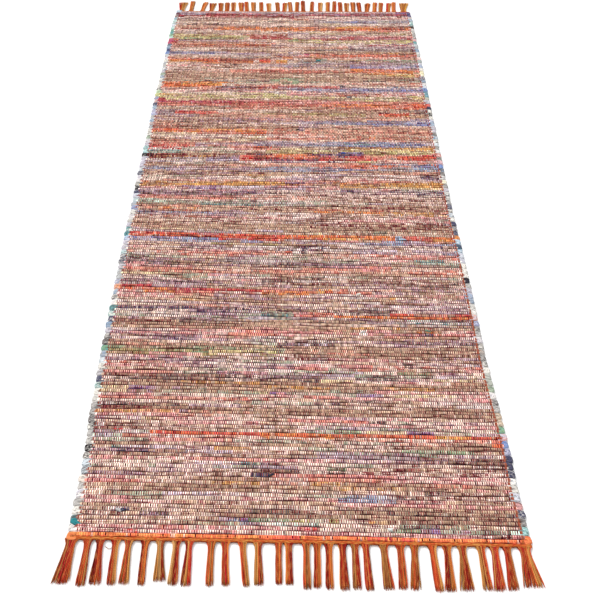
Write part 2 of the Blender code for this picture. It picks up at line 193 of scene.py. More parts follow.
# %% The weaver's list
WEAVERS_LIST = """
0 flame*orange -150 orange*flame -60 flame*red 0 orange*flame 100 orange*red 200 flame*orange 320 flame
1 shell*rose -325 rose*shell -265 red*rose -236 rose*shell -180 shell*rose -60 shell*cream 0 shell*rose 100
  rose*shell 180 shell*rose 280 shell*maroon 335 rose
2 rose*shell -245 shell*rose -211 rose*coral -162 shell*rose 12 red*rose 34 shell*cream 146 green*sage 190
  mauve*purple 222 mauve*sage 262 sage*charcoal 335 mint
3 shell*tan -262 sage*khaki -236 shell*khaki -185 sage*khaki -95 steel*grey -74 grey*mauve -50 shell*mint 0
  shell*sage 26 mint*sage 34 shell*cream 80 olive*lime 88 shell*cream 165 sage*charcoal 200 mauve*charcoal 225
  sage*khaki 260 khaki*shell
4 shell*tan -240 shell*khaki -122 mauve*steel -86 purple*navy -66 sage*green -35 ash*green -8 lime*shell 14
  shell*sage 52 olive*lime 66 shell*cream 115 ochre*khaki 150 khaki*brown 260 brown*khaki
5 shell*brown -290 maroon*brown -275 shell*tan -240 charcoal*mauve -200 shell*tan -120 khaki*brown 60
  khaki*tan 160 brown*khaki
6 shell*tan -285 navy*ash -265 shell*tan -90 khaki*shell -70 brown*charcoal 0 shell*brown 60 khaki*brown 150
  charcoal*khaki 260 khaki*brown 330 charcoal
7 tan*khaki -240 shell*tan -120 tan*shell 40 shell*tan 150 tan*khaki
8 shell*rose -200 rose*tan -140 shell*brown -60 tan*khaki 60 shell*rose 150 tan*rose
9 shell*rose -260 sage*khaki -205 shell*cream -90 shell*rose 60 steel*lavender 150 coral*shell 165
  shell*rose 240 shell*tan
10 tan*shell -300 sage*khaki -215 lavender*shell -140 ash*shell -80 shell*cream 0 shell*sage 80 ash*steel 150
  charcoal*shell 190 shell*brown
11 tan*shell -240 brown*khaki -60 shell*khaki 100 tan*shell 200 charcoal*shell 240 shell*brown
12 tan*khaki -240 brown*khaki -210 khaki*brown -50 tan*khaki 60 ochre*tan 180 tan*brown 260 rose*tan
13 rose*coral -240 coral*shell -230 shell*tan -140 ochre*tan -60 salmon*shell 20 ochre*tan 90 brown*khaki 200
  coral*khaki 290 khaki*tan
14 shell*rose -290 brown*rose -270 shell*tan -160 brown*khaki -50 salmon*shell 20 salmon*coral 140
  shell*rose 240 rose*shell
15 brown*mauve -240 brown*shell -70 navy -40 rose*coral 60 coral*rose 150 rose*shell 240 shell*rose
16 shell*tan -240 mauve*shell -130 brown*shell -60 charcoal*brown 0 charcoal*shell 90 maroon*shell 170
  brown*shell 250 maroon*shell 340 shell
17 sage*shell -300 shell*cream -240 sage*shell -220 mauve*shell -140 sage*lavender -60 mauve*lavender 0
  shell 50 sage*green 75 khaki*shell 150 brown*maroon 210 shell*tan 260 brown*shell
18 cream*shell -210 khaki*shell -170 lavender*shell -85 teal*sage -65 mauve*charcoal -30 shell*cream 60
  sage*shell 140 brown*shell 200 tan*shell 290 brown*ash
19 tan*rose -240 shell*rose -160 rose*salmon -60 shell*rose 60 mauve*shell 140 khaki*mauve 240 brown*charcoal
20 brown*shell -290 tan*brown -190 shell*brown -60 grey*khaki 30 lavender*mauve 100 grey*mauve 200
  mauve*brown 300 charcoal*brown
21 shell*mauve -300 navy*mauve -250 mauve*brown -180 shell*lavender -100 shell*tan 30 lavender*grey 80
  sage*mauve 200 charcoal*sage 240 shell*mauve
22 shell*tan -305 teal*sage -285 shell*lavender -200 mauve*shell -130 tan*ochre -80 shell 0 sage*shell 80
  shell*tan 180 green*sage 300 shell*khaki
23 tan*brown -240 shell*tan -100 brown*shell -60 tan*khaki 60 brown*shell 200 khaki*brown
24 shell*sage -240 salmon*rose -100 shell*sage 20 khaki*shell 80 sage*shell 180 shell*salmon 250 brown*tan 330
  flame*shell
25 lavender*sage -290 coral*sage -270 ash*salmon -180 salmon*shell -60 orange*shell 60 brown*tan 90
  shell*salmon 150 shell*coral 320 flame*coral
26 lavender*mauve -305 sage*ash -238 flame*red -60 flame*orange 60 coral*flame 180 flame*red 240
  gold*orange 300 flame*red
27 maroon*brown -310 red*charcoal -288 shell*brown -210 brown*shell -190 shell*khaki 20 lavender*sage 60
  sage*green 110 shell*yellow 190 mauve*purple 240 sage*shell 300 shell*mauve
28 charcoal*ash -320 shell*brown -220 shell*tan -60 white*khaki 0 shell*mauve 30 sage*mauve 85
  shell*lavender 140 sage*lavender 200 sage*shell
29 shell*tan -200 shell*rose -60 tan*shell 30 rose*shell 180 shell*rose
30 shell*mauve -260 yellow*khaki -230 rose*shell -100 shell*khaki -20 coral*rose 130 charcoal*shell 150
  sage*shell 240 shell*mauve
31 shell*rose -200 salmon*shell -100 shell*khaki 40 rose*mauve 120 rose*shell 200 shell*tan
32 ochre*salmon -200 mauve*brown -180 salmon*khaki -60 khaki*brown 60 brown*khaki 200 khaki*brown
33 brown*maroon -240 khaki*brown -60 brown*khaki 100 khaki*tan 200 khaki*brown
34 ash*charcoal -310 charcoal*shell -280 khaki*charcoal -180 shell*mauve -100 shell*khaki 60 khaki*shell 200
  khaki*brown
35 cream*shell -240 shell*cream -110 charcoal*khaki -75 shell*sage 30 charcoal*shell 50 shell 60
  charcoal*mauve 85 khaki*shell 280 white*ash
36 rose*coral -280 salmon*rose -150 shell*coral -40 shell*tan 60 shell*brown 110 charcoal*shell 160
  shell*khaki 230 ash*shell
37 shell*rose -240 shell*cream -60 rose*shell 20 rose*coral 80 shell*rose 200 rose*shell
38 tan*yellow -300 mauve*brown -250 sage*khaki -180 khaki*sage -90 yellow*sage -50 rose*purple -20
  sage*shell 100 purple*lavender 158 shell*yellow 300 rose*shell
39 tan*yellow -300 purple*mauve -255 khaki*mauve -200 sage*khaki -150 khaki*tan 60 sage*khaki 140
  rose*shell 250 shell*rose
40 brown*khaki -240 khaki*brown -60 ochre*khaki 60 khaki*tan 160 tan*ochre 240 brown*khaki
41 shell*tan -300 khaki*brown -200 khaki*ochre -60 khaki*brown 60 tan*khaki 280 brown*khaki
42 charcoal*shell -280 brown*charcoal -120 shell*charcoal -60 khaki*charcoal 40 shell*yellow 140
  charcoal*shell 155 shell*rose 280 brick*khaki
43 maroon*brown -250 charcoal*brown -120 shell*charcoal -60 mauve*charcoal 60 lavender*shell 110
  charcoal*grey 190 shell*mauve 240 shell*yellow 330 khaki*shell
44 rose*salmon -210 shell*sage -140 rose*mauve -50 grey*sage 20 mauve*lavender 110 sage*charcoal 190
  shell*sage 240 lavender*ash 300 shell*yellow
45 shell*khaki -190 sage*shell -100 shell*ash 0 shell*sage 60 lavender*sage 120 sage*shell 190 green*khaki 240
  mauve*shell 300 cream*shell
46 shell*rose -200 shell*mauve -60 rose*mauve 0 coral*rose 60 shell*sage 110 coral*shell 200 shell*khaki 300
  shell*rose
47 shell*brick -240 mauve*shell -160 shell*white -60 ash*mauve 0 shell*rose 90 coral*rose 140 shell*coral 200
  charcoal*shell 230 coral*shell
48 shell*mauve -220 mauve*ash -120 charcoal*shell -90 shell*sage 0 shell*white 60 shell*tan 180
  charcoal*shell 240 lavender*shell
49 shell*ash -300 mauve*rose -200 ash*khaki -100 khaki*shell -50 charcoal*ash -20 shell*maroon 30
  charcoal*mauve 60 shell*rose 200 brown*shell 300 khaki*brown
50 olive*khaki -260 tan*rose -170 olive*yellow -140 shell*tan -80 olive*mauve -40 brown*shell 0
  maroon*brown 30 brown*grey 60 khaki*brown 240 khaki*mauve
51 teal -335 green*olive -150 yellow*lime -40 sage*lime -20 tan*brown 60 coral*tan 130 brown*khaki
52 green*khaki -240 green*brown -160 tan*green -60 yellow*sage -20 brown*tan 30 salmon*khaki 120 tan*khaki 200
  brown*tan
53 khaki*salmon -240 tan*brown -100 khaki*yellow -40 tan*charcoal 0 brown*tan 80 tan*khaki 240 khaki*brown
54 tan*brown -260 shell*tan -80 sage*ash -30 mauve*charcoal 0 charcoal*lavender 80 khaki*shell 160
  shell*mauve 260 shell*khaki
55 mauve*shell -260 navy*mauve -190 mauve*shell -90 grey*sage -30 shell*charcoal 30 charcoal*ash 80
  shell*mauve 150 charcoal*mauve
56 lavender*charcoal -340 shell*khaki -300 charcoal*mauve -250 mauve*charcoal -180 rose*khaki -80 grey*ash -20
  shell*khaki 60 khaki*tan 200 tan*mauve 280 khaki*mauve
57 rose*mauve -280 rose*shell -120 salmon*coral -40 rose*shell 30 tan*shell 100 khaki*shell 160
  salmon*khaki 300 shell*ash
58 shell*ash -240 rose*shell -100 coral*rose 60 rose*tan 118 white 130 rose*khaki 170 mauve*rose 240
  navy*sage 256 coral*rose 320 shell*rose
59 tan*khaki -240 salmon*khaki -100 rose*tan 20 salmon*khaki 120 shell*rose 180 khaki*tan 230 orange*khaki 280
  rose*shell
60 brown*khaki -200 khaki*brown -80 khaki*tan 100 tan*ochre 200 khaki*brown 300 khaki*tan
61 maroon*brown -240 khaki*charcoal -140 tan*khaki 0 shell*khaki 120 tan*shell 200 khaki*grey
62 khaki*mauve -290 shell*tan -240 mauve*charcoal -150 khaki*grey -60 tan*khaki 30 charcoal*khaki 130
  mauve*grey 220 teal*ash 290 sage*lavender
63 ash*sage -280 shell*white -200 mauve*sage -100 sage*lavender 0 grey*mauve 50 cream*shell 80 mauve*khaki 220
  mint*grey 280 ash*charcoal
64 cream*ash -240 charcoal*ash -220 shell -190 mauve*lavender -110 ash*sage -60 sage*teal -10 crimson*coral 40
  coral*shell 70 flame*orange 180 orange*red 230 orange*flame
65 ash*cream -300 charcoal*shell -200 navy*mauve -120 lavender*grey -60 charcoal*sage 0 grey*rose 30
  brick*coral 80 shell*charcoal 180 red*flame 230 brown*coral 300 brick*red
66 mauve*navy -200 mauve*charcoal -120 shell*navy -60 navy*khaki 40 shell*charcoal 110 charcoal*shell 200
  shell*mauve
67 shell*cream -200 shell*salmon -120 mauve*shell -60 khaki*mauve -20 cream*mauve 60 shell*tan 120
  white*grey 180 mauve*shell 250 mauve*ash
68 shell*ash -200 mauve*shell -100 shell*tan -40 cream*shell 60 shell*tan 100 khaki*mauve 190 mauve*ash
69 shell*tan -240 ochre*tan -150 tan*khaki -60 tan*brown 20 shell*tan 90 ash*white 170 khaki*brown 260
  mauve*shell
70 rose*shell -240 tan*khaki -160 mauve*brown -120 khaki*mauve 20 mauve*khaki 100 khaki*tan 200
  mauve*shell 330 shell*khaki
71 shell*rose -230 tan*salmon -150 khaki*mauve -60 tan*khaki 20 mauve*shell 100 white*ash 150 ochre*shell 210
  shell*brown 300 khaki*mauve
72 shell*rose -300 orange*coral -230 crimson*coral -150 coral*shell -70 khaki*orange 30 mauve*shell 90
  shell*ash 140 shell*rose 220 khaki*shell 260 khaki*rose
73 flame*brick -290 coral*orange -250 brick*crimson -190 red*crimson -70 orange*coral 40 orange*gold 60
  coral*flame 110 salmon*coral 150 shell*mauve 250 shell*khaki
74 red*crimson -284 khaki*mauve -180 tan*khaki -60 tan*rose 40 orange*tan 70 coral*shell 110 shell 140
  salmon*shell 200 mauve*khaki 300 brown*shell
75 rose*grey -280 mauve*grey -180 khaki*ash -60 khaki*mauve 60 tan*khaki 110 mauve*shell 240 mauve*brown 310
  mauve*shell
76 mauve*charcoal -240 charcoal*mauve -150 tan*mauve -60 brown*shell 30 maroon*brown 80 mauve*khaki 200
  brown*charcoal 300 brown*shell
77 shell*mauve -240 brown*shell -120 rose*shell -60 maroon*charcoal 0 shell*grey 100 mauve*brown 180
  brown*shell 300 shell*charcoal
78 shell*charcoal -260 sage*khaki -180 shell*ash -90 white*shell -40 khaki*charcoal 60 shell*khaki 150
  shell*brown 250 cream*khaki 320 charcoal*shell
79 yellow*tan -260 sage*khaki -170 lavender*rose -115 shell*sage -50 brown*tan 20 shell*sage 60
  white*brown 110 sage*khaki 150 shell*brown 220 cream*mauve 300 shell*sage
80 coral*khaki -250 tan*coral -160 khaki*salmon -60 tan*salmon 40 shell*tan 120 khaki*tan 240 salmon*tan
81 salmon*coral -200 salmon*shell -80 coral*salmon 60 coral*shell 110 salmon*tan 230 salmon*coral 300
  salmon*shell
82 rose*shell -200 shell*tan -60 salmon*shell 20 coral*salmon 130 coral*rose 190 salmon*shell 300 coral*shell
83 rose*charcoal -290 charcoal*mauve -260 brown*charcoal -200 tan*mauve -60 khaki*charcoal 60 rose*mauve 130
  coral*rose 200 shell*tan 320 salmon*shell
84 mauve*charcoal -260 khaki*charcoal -200 charcoal*tan -120 charcoal*grey 0 mauve*charcoal 60
  charcoal*mauve 150 mauve*khaki 300 sage*charcoal
85 charcoal*ash -310 khaki*mauve -280 charcoal*mauve -250 khaki*mauve -160 charcoal*grey -100 ash*mauve -20
  grey*khaki 60 sage*grey 120 shell*mauve 200 sage*khaki 260 mint*sage
86 sage*charcoal -300 shell*sage -220 cream*tan -150 grey*mauve -100 sage*grey -20 sage*khaki 30 khaki*ash 80
  sage*shell 130 rose*shell 240 sage*teal 300 ash*cream
87 sage*ash -300 khaki*shell -240 coral*shell -110 shell*mauve -70 sage*shell 40 khaki*shell 80
  salmon*shell 200 rose*coral 260 coral*shell
88 salmon*shell -280 coral*shell -180 salmon*coral -60 coral*shell 0 sage*tan 60 salmon*shell 120
  coral*shell 240 salmon*rose
89 shell*tan -242 charcoal*shell -232 shell*rose -60 salmon*shell -20 coral -8 white*charcoal 30 tan*shell 120
  mauve*lavender 220 mauve*shell 300 steel*mauve
90 shell*rose -300 white*shell -240 shell*charcoal -210 white*mauve -60 brown*white -40 white*navy 30
  mauve*charcoal 60 ash*white 120 lavender*ash 210 khaki*shell 240 lavender*mauve 330 brown*ash
91 shell*tan -280 khaki*tan -230 mauve*ash -145 brown*khaki -122 white*ash -5 brown*charcoal 15 white*navy 75
  brown*khaki 92 white*shell 160 shell*brown 210 brown*khaki 235 white*shell 310 brown*shell
92 tan*shell -180 olive*tan -80 khaki*olive 0 khaki*brown 90 white*shell 130 shell*grey 250 charcoal*shell 280
  shell*navy 320 brown*shell
93 steel*lavender -250 lavender*steel -150 tan*grey -120 periwinkle*steel -60 lavender*tan 60
  lavender*grey 130 lavender*steel 220 sky*blue 229 periwinkle*mauve 300 shell*steel
94 shell*blue -330 blue*lavender -240 blue*steel -165 red*mauve -100 brick*red -25 mauve*grey 60
  brown*rose 130 brown*tan 180 mauve*steel 220 sky 229 mauve*lavender 270 salmon*brown
95 flame*shell -300 flame*maroon -170 red*flame -25 red*orange 50 orange*gold 110 orange*yellow 150
  flame*orange 215 sky 228 coral*red 290 orange*gold
96 coral*red -300 red*flame -200 crimson*rose -165 red*flame -20 flame*orange 30 orange*flame 110
  orange*brick 155 flame*orange 220 sky 228 coral*red 290 orange*flame
97 ash*mauve -280 shell*mauve -200 sage*mauve -120 cream*tan 20 yellow*cream 60 cream*brown 160 sage*khaki 190
  cream*tan 280 cream*brown
98 mauve*shell -320 tan*yellow -200 grey*khaki -120 lavender*khaki -20 sage*tan 60 cream*khaki 150
  khaki*sage 210 cream*tan
99 salmon*khaki -250 tan*khaki 0 khaki*tan 60 tan*brown 130 khaki*brown 230 brown*khaki
100 brown*tan -200 tan*khaki -60 khaki*tan 20 tan*maroon 60 brown*khaki 150 maroon*khaki 280 maroon*tan
101 tan*brown -290 shell*khaki -200 brown*tan -60 tan*khaki 10 maroon*tan 70 shell*maroon 130 maroon*tan 280
  maroon*brown
102 shell*tan -200 maroon*shell -120 brown*shell -20 brown*grey 60 maroon*shell 120 brown*tan 220
  maroon*shell 320 shell*navy
103 shell*brown -160 tan*shell -60 shell*brown 100 rose*shell 200 shell*rose 330 charcoal*ash
104 charcoal*ash -340 shell*brick -200 brown*rose -120 rose*shell 0 shell*white 60 brown*shell 160
  rose*shell 300 shell*sage
105 grey*charcoal -320 shell*mauve -220 mauve*shell -120 shell*khaki -80 white*shell -40 brown*shell 0
  white*shell 60 shell*brown 235 charcoal*shell 248 shell*rose
106 steel*mauve -280 mauve*steel -160 grey*mauve -90 white*brown -60 shell*ash 60 tan*brown 120 shell*tan 180
  ochre*shell 330 brick*shell
107 tan*charcoal -290 tan*brick -170 mauve*khaki -100 tan*khaki 40 khaki*orange 200 ochre*tan 300 salmon*brown
108 tan*coral -300 tan*orange -200 khaki*tan -100 tan*maroon 30 tan*brick 200 maroon*tan 240 maroon*khaki 330
  charcoal*brown
109 salmon*brown -200 salmon*tan -100 brown*tan 0 tan*brown 120 brown*maroon 240 maroon*tan 330 charcoal*coral
110 sage*khaki -200 sage*teal -60 sage*ash 60 sage*khaki 170 khaki*tan 200 brown*khaki 330 coral*charcoal
111 mint*sage -180 sage*grey -60 mint*ash 20 sage*shell 160 mauve*ash 230 shell*brown 300 charcoal*shell
112 mint*sage -300 sage*shell -200 shell*sage -95 charcoal -85 ash*shell -40 shell*sage 80 brown*shell 140
  tan*brown 200 shell*tan
113 salmon*coral -240 coral*salmon -125 salmon*shell 20 shell*tan 80 brown*shell 190 shell*brown 230
  maroon*shell 270 shell*brown
114 brick*rose -280 brown*rose -120 shell*salmon 60 shell*brown 200 brown*shell 260 shell*khaki
115 mauve*charcoal -280 charcoal*mauve -110 shell*brown 0 shell*khaki 80 shell 280 shell*charcoal
116 black*mauve -320 mauve*charcoal -180 mauve*navy -60 charcoal*shell 0 brown*shell 110 charcoal*shell 150
  shell*mauve 270 navy*ash
117 shell*mauve -200 mauve*rose -60 grey*shell 30 mauve*brown 60 grey*shell 110 navy*mauve 150 shell*mauve 205
  navy*ash 230 ash*navy 280 navy*ash
118 rose*shell -240 purple*lavender -180 ash*lavender -60 mauve*lavender 20 shell*rose 110 khaki*grey 160
  shell*rose 220 sage*ash
119 ochre*brown -280 salmon*khaki -255 purple*mauve -165 lavender*ash -60 lavender*rose 20 shell*mauve 60
  rose*tan 110 khaki*ochre 200 tan*yellow 280 yellow*ochre
120 ochre*brown -280 ochre*gold -20 maroon*ochre 10 ochre*salmon 45 brown*tan 90 ochre*tan 110 brown*ochre 205
  gold*ochre 330 lime*ochre
121 orange*salmon -330 ochre*tan -150 ochre*gold -15 purple*mauve 25 salmon*mauve 90 brown*orange 115
  gold*salmon 145 brick*brown 200 ochre*gold
122 cream*shell -300 shell*salmon -100 shell*rose 60 salmon*brick 100 shell*coral 200 salmon*brick 270
  ochre*shell
123 cream*shell -215 mauve*shell -150 white*shell -90 yellow*shell -60 shell*rose -20 lavender*mauve 50
  grey*shell 100 shell*rose 200 shell*white 290 shell*mauve
124 cream*sage -260 sage*khaki -210 white*shell -100 olive*shell -60 white*cream 0 lavender*shell 60
  sage*mauve 110 shell*brown 200 mauve*brown 230 shell 290 mauve*navy
125 shell*brown -300 brown*charcoal -200 brown*tan -130 ochre*tan -50 tan*khaki 0 mauve*shell 60
  shell*lavender 180 shell*white 290 navy*shell
126 brown*tan -280 brown*mauve -130 tan*brown -85 maroon -72 tan*khaki 60 mauve*tan 200 salmon*brown
127 mauve*tan -230 tan*brown -130 mauve*grey -50 grey*steel 100 tan*brown 240 salmon*tan 330 coral*lime
128 steel*mauve -250 grey*mauve -130 steel*mauve 100 steel*blue 160 steel*grey 330 salmon*steel
129 steel*grey -280 mauve*tan -60 steel*grey 50 coral*steel 140 coral*grey 220 steel*grey 270 steel*sky
130 tan*brown -200 salmon*tan 40 coral*salmon 120 coral*flame 230 shell*coral 280 steel*blue
131 khaki*brown -280 shell*sage -200 tan*brown -100 salmon*shell 60 coral*salmon 180 shell*steel 290
  steel*coral
132 lavender*ash -240 ash*khaki -120 brown*ash -105 white*rose -50 ash*mauve 60 white*navy 120 shell*lime 190
  shell*rose 290 coral*shell
133 lavender*cream -200 lavender*periwinkle -120 coral -102 crimson*navy 60 red*maroon 130 coral*red 200
  shell*salmon 260 shell*rose
134 brick*maroon -300 lavender*khaki -200 periwinkle*mauve -122 coral -102 red*maroon -40 flame*salmon 60
  red*salmon 130 red*coral 200 coral*shell 250 red*flame 320 shell*salmon
135 black -335 ochre*maroon -180 brown*mauve -130 coral*red -100 maroon*brick -60 flame*coral 60
  magenta*salmon 105 navy*periwinkle 125 crimson*red 160 coral*salmon 250 red*flame 330 crimson
136 black -335 brick*maroon -280 maroon*khaki -100 maroon*navy -50 coral*orange 35 salmon 45 purple*navy 108
  navy 130 purple*maroon 160 lime*salmon 250 yellow*rose 300 rose*red
137 mint*sage -260 sage*tan -120 tan*brown -60 yellow*olive 40 lime*tan 105 navy*periwinkle 160 lime*olive 300
  lime*rose
138 mint*teal -270 white*cream -220 sage*cream -130 shell*tan -60 yellow*olive 40 lime*ash 100
  yellow*olive 200 lime*yellow 330 lime
139 white*red -270 white*sage -230 khaki*shell -150 shell*rose -100 coral*salmon -30 yellow*brown 60
  cream*brown 120 ochre*yellow
140 shell*red -250 khaki*sage -150 coral*salmon -100 flame*brick -50 cream*brown 100 ochre*brown 220
  ochre*gold
141 red*coral -240 mauve*salmon -100 steel*mauve 20 steel 100 steel*blue 250 steel*grey 300 tan*ochre
142 coral*salmon -230 mauve*ash -100 lavender*steel -30 steel*lavender 120 steel*teal 200 steel*blue 320
  lavender*ash
143 coral*salmon -300 salmon*tan -100 shell*lavender -40 lavender*shell 80 lavender*steel 300 shell*lavender
144 tan*brick -200 khaki*yellow -140 yellow*cream -100 brown*tan -50 salmon*cream 200 coral*shell 300
  white*shell
145 brown*tan -300 tan*mauve -150 yellow*tan -60 salmon*coral 60 coral*tan 240 brick*tan
146 cream*shell -100 yellow*ash -60 salmon*shell 100 tan*brick 160 brown*tan 185 salmon*orange 200
  tan*brick 330 coral
147 yellow*cream -250 shell*cream -120 shell*brick -60 cream*ash -50 salmon*shell 100 tan*salmon 250
  salmon*cream
148 yellow*shell -230 coral*salmon -130 flame*brown -60 salmon*coral 60 salmon*tan
149 coral*orange -60 coral*tan 60 salmon*tan 170 brick*salmon
150 coral*flame -280 coral*gold -60 brick*tan 10 navy*mauve 22 tan*salmon 150 brick*tan 180 salmon*tan
151 brown*brick -280 brown*tan -190 brick*khaki -60 tan*brick 10 mauve*shell 30 tan*brown 150 salmon*khaki
152 brick*brown -250 brown*khaki -180 tan*brown -60 brown*tan 20 shell*mauve 60 shell*salmon 200 salmon*tan
153 brown*salmon -280 shell*brown -180 shell*tan 0 mauve*cream 60 shell*tan 200 steel*tan 250 shell*tan 330
  orange*steel
154 salmon*tan -200 mauve*tan -50 lavender*ash 40 lavender*steel 150 steel*blue 330 coral*steel
155 salmon*tan -300 charcoal*tan -240 mauve*brown -50 mauve*tan 10 lavender*mauve 80 mauve*steel 160
  steel*lavender 300 steel*blue
156 tan*mauve -300 mauve*brown -100 salmon*mauve 50 mauve*tan 180 mauve*steel 290 steel*lavender
157 mauve*tan -150 mauve*salmon 0 brown*tan 120 salmon*tan 290 steel*mauve
158 mauve*tan -240 salmon*tan 100 tan*shell 200 salmon*tan 300 steel*tan
159 grey*mauve -240 salmon*tan -60 tan*salmon 0 tan*olive 180 tan 225 flame*salmon 280 ochre*tan
160 mauve*grey -290 coral*red -185 tan*salmon -80 olive*brown 0 brown*olive 180 tan*brown 212 flame*red 290
  charcoal*tan 310 tan*brown
161 mauve*grey -318 charcoal -295 red*crimson -250 red*coral -185 tan*shell -100 khaki*cream 50
  khaki*brown 110 brown*tan 210 tan*maroon 240 red*tan 300 brown*charcoal 330 black
162 mauve*grey -280 tan*shell -130 shell*tan 30 mauve*tan 80 tan*brown 200 brown*tan 240 charcoal*tan 300
  brown*charcoal
163 tan*khaki -170 coral*salmon -50 salmon*tan 60 tan*brick 130 salmon*khaki 250 tan*charcoal 305
  charcoal*grey
164 tan*grey -165 coral*salmon -60 coral*tan 80 coral*brown 150 salmon*coral 240 flame*salmon 330 maroon*flame
165 salmon*coral -170 coral*brick 80 orange*coral 240 flame*coral 310 flame*red
166 coral*brick -240 brick*crimson -120 brick*coral -70 crimson*coral -25 coral*rose 30 crimson*coral 70
  coral*orange 250 coral 305 flame
167 crimson*magenta -150 crimson*brick -30 rose*salmon 60 coral*rose 180 salmon*coral 290 coral*flame
168 crimson -325 crimson*tan -240 crimson*salmon -160 salmon*rose 60 rose*salmon 120 coral*salmon 320 coral
169 mauve*crimson -320 tan*lime -180 tan*shell -60 khaki*brown 130 lime*tan 300 tan*yellow
170 lime*tan -150 cream*lime -20 khaki*lime 60 lime*khaki 140 charcoal*tan 150 lime*cream 280 yellow*khaki
171 yellow*lime -310 lime*tan -80 yellow*lime -30 cream*lime 60 lime*tan 132 sage*charcoal 148 lime*cream 300
  lime*ochre
172 yellow*gold -300 lime*cream -20 white -10 shell*rose 60 shell*brick 200 shell*salmon 290 lime*cream
173 cream*shell -330 shell*cream -150 cream*lime -50 white -22 shell*rose 50 salmon*shell 110 shell*brick 230
  white*rose 330 lime
174 shell*rose -60 white*mauve -20 shell*rose 60 shell*mauve 150 mauve*shell 230 rose*shell
175 shell*salmon -195 brown*mauve -170 mauve*tan 0 steel*lavender 150 lavender*steel 230 mauve*lavender
176 salmon*shell -200 mauve*brick -20 steel*lavender 120 steel*blue 330 blue
177 orange*coral -200 mauve*charcoal -110 mauve*crimson 0 crimson*mauve 70 lavender*crimson 125
  mauve*charcoal 150 steel*lavender 330 steel
178 orange*flame -240 gold*orange -190 cream*brick -100 salmon*crimson 20 crimson*salmon 122 navy 132
  cream*shell 240 steel*cream 330 steel
179 flame*orange -290 orange*gold -190 shell*cream -80 salmon*cream 20 cream*shell 160 salmon*cream 280
  salmon*shell
180 orange*salmon -290 tan*orange -150 tan*sage -30 charcoal*green 20 tan*shell 120 salmon*shell
181 sage*tan -240 charcoal*grey -200 sage*grey -150 tan*sage -110 charcoal*sage -70 tan*sage 0 sage*green 25
  tan*sage 75 sage*khaki 100 tan*shell 300 brick*tan
182 sage*grey -340 tan*khaki -240 grey*tan -60 green*tan -5 sage*charcoal 20 tan*khaki 190 sage*charcoal 240
  tan*khaki 310 sage*grey
183 teal*grey -345 khaki*tan -250 sage*tan -120 tan*khaki -30 sage*green 25 tan*khaki 200 khaki*green 235
  maroon*tan 280 sage*brown
184 brown*tan -280 tan*khaki -100 brown*khaki 10 khaki*tan 150 tan*brown 330 grey
185 tan*brown -190 brown*tan -130 tan*khaki 0 khaki*cream 130 khaki*tan 280 lime*khaki 320 coral*olive
186 brown*tan -320 tan*khaki -100 khaki*tan 10 cream*khaki 120 yellow*khaki 240 lime*ochre 330 olive*coral
187 tan*brown -250 salmon*tan -110 brick*brown 80 tan*khaki 200 orange*yellow 280 yellow*ochre 330
  coral*yellow
188 shell*tan -165 coral*salmon -100 coral*brick 70 coral*tan 140 orange*coral 240 orange*salmon 320
  salmon*yellow
189 shell*cream -250 cream*salmon -170 salmon*coral -20 coral*salmon 120 tan*salmon 150 orange*coral 330 coral
190 ash*shell -330 shell*khaki -200 cream*shell -100 salmon*shell 60 cream*shell 120 cream*salmon 150
  coral*orange 300 salmon*ash
191 shell*tan -250 tan*brown -150 tan*shell -60 mauve*tan 100 grey*khaki 160 periwinkle*mauve 230
  mauve*lavender 310 lavender*grey
192 shell*rose -200 shell*brown -100 mauve*shell -50 mauve*steel 10 mauve*brown 50 mauve*grey 120
  tan*charcoal 158 periwinkle*blue 200 lavender*periwinkle
193 shell*tan -215 charcoal*tan -140 shell*tan -90 mauve*grey 60 mauve*tan 150 periwinkle*mauve 200
  mauve*lavender 300 steel*grey
194 shell*tan -300 salmon*shell -240 orange*salmon -110 salmon*tan -20 mauve*ash 40 tan*grey 100
  mauve*grey 300 lavender*ash
195 gold*orange -240 flame*brick -190 orange*brick -112 shell -95 flame -62 tan -48 gold*orange -12 ash*tan 20
  teal*grey 85 khaki*grey 155 tan*mauve 250 mauve*grey 300 ash*grey
196 flame*orange -260 flame -200 brick*maroon -112 shell -95 red -62 salmon -48 gold -12 grey*khaki 68 teal 83
  khaki*grey 158 charcoal 178 ash 188 charcoal*ash 205 tan*grey 260 grey*green 310 sage
197 coral*salmon -250 brick*coral -210 brick*brown -110 salmon*brick -60 salmon*shell 20 grey*tan 65
  teal*green 85 olive*tan 200 grey*green 330 grey
198 salmon*tan -200 grey*khaki -30 shell*orange 20 shell*salmon 60 yellow*ochre 80 salmon*shell 300
  salmon*yellow
199 shell*tan -150 grey*tan -40 salmon*brick 50 yellow*coral 80 salmon*coral 150 coral*shell
200 ash*mauve -320 shell*ash -190 grey*ash -60 tan*mauve 20 rose 45 coral*orange 70 coral*flame 190
  flame*coral
201 steel*blue -220 mauve*grey -150 lavender*purple -120 mauve*lavender -60 tan*mauve -10 lavender*tan 30
  magenta 50 salmon*coral 80 coral*brown
202 steel*lavender -260 lavender*steel -190 mauve*tan -60 tan -10 lavender*tan 30 grey*tan 55 tan*brown 200
  ochre*brown
203 grey*tan -230 brown*tan -190 tan*khaki -60 tan*shell 60 tan*khaki
204 brick*tan -335 cream*shell -225 tan*brown -110 tan*shell 30 olive*charcoal 55 charcoal 75
  grey*charcoal 330 charcoal
205 salmon*shell -310 shell*cream -190 tan*ash -50 tan*shell 50 grey*khaki 150 charcoal*grey 260
  khaki*grey 300 charcoal*grey
206 salmon*brown -150 brick*tan 0 salmon*tan 120 coral*tan 160 mauve*ash 250 ash*mauve
207 tan*salmon -270 salmon*brick -145 brick*maroon -70 mauve*tan 0 tan*shell 130 salmon*shell 160 shell*mauve
208 salmon*brick -270 brick*orange -60 mauve*shell 0 shell 30 white*shell 60 shell*mauve 120 shell*white 200
  shell*crimson
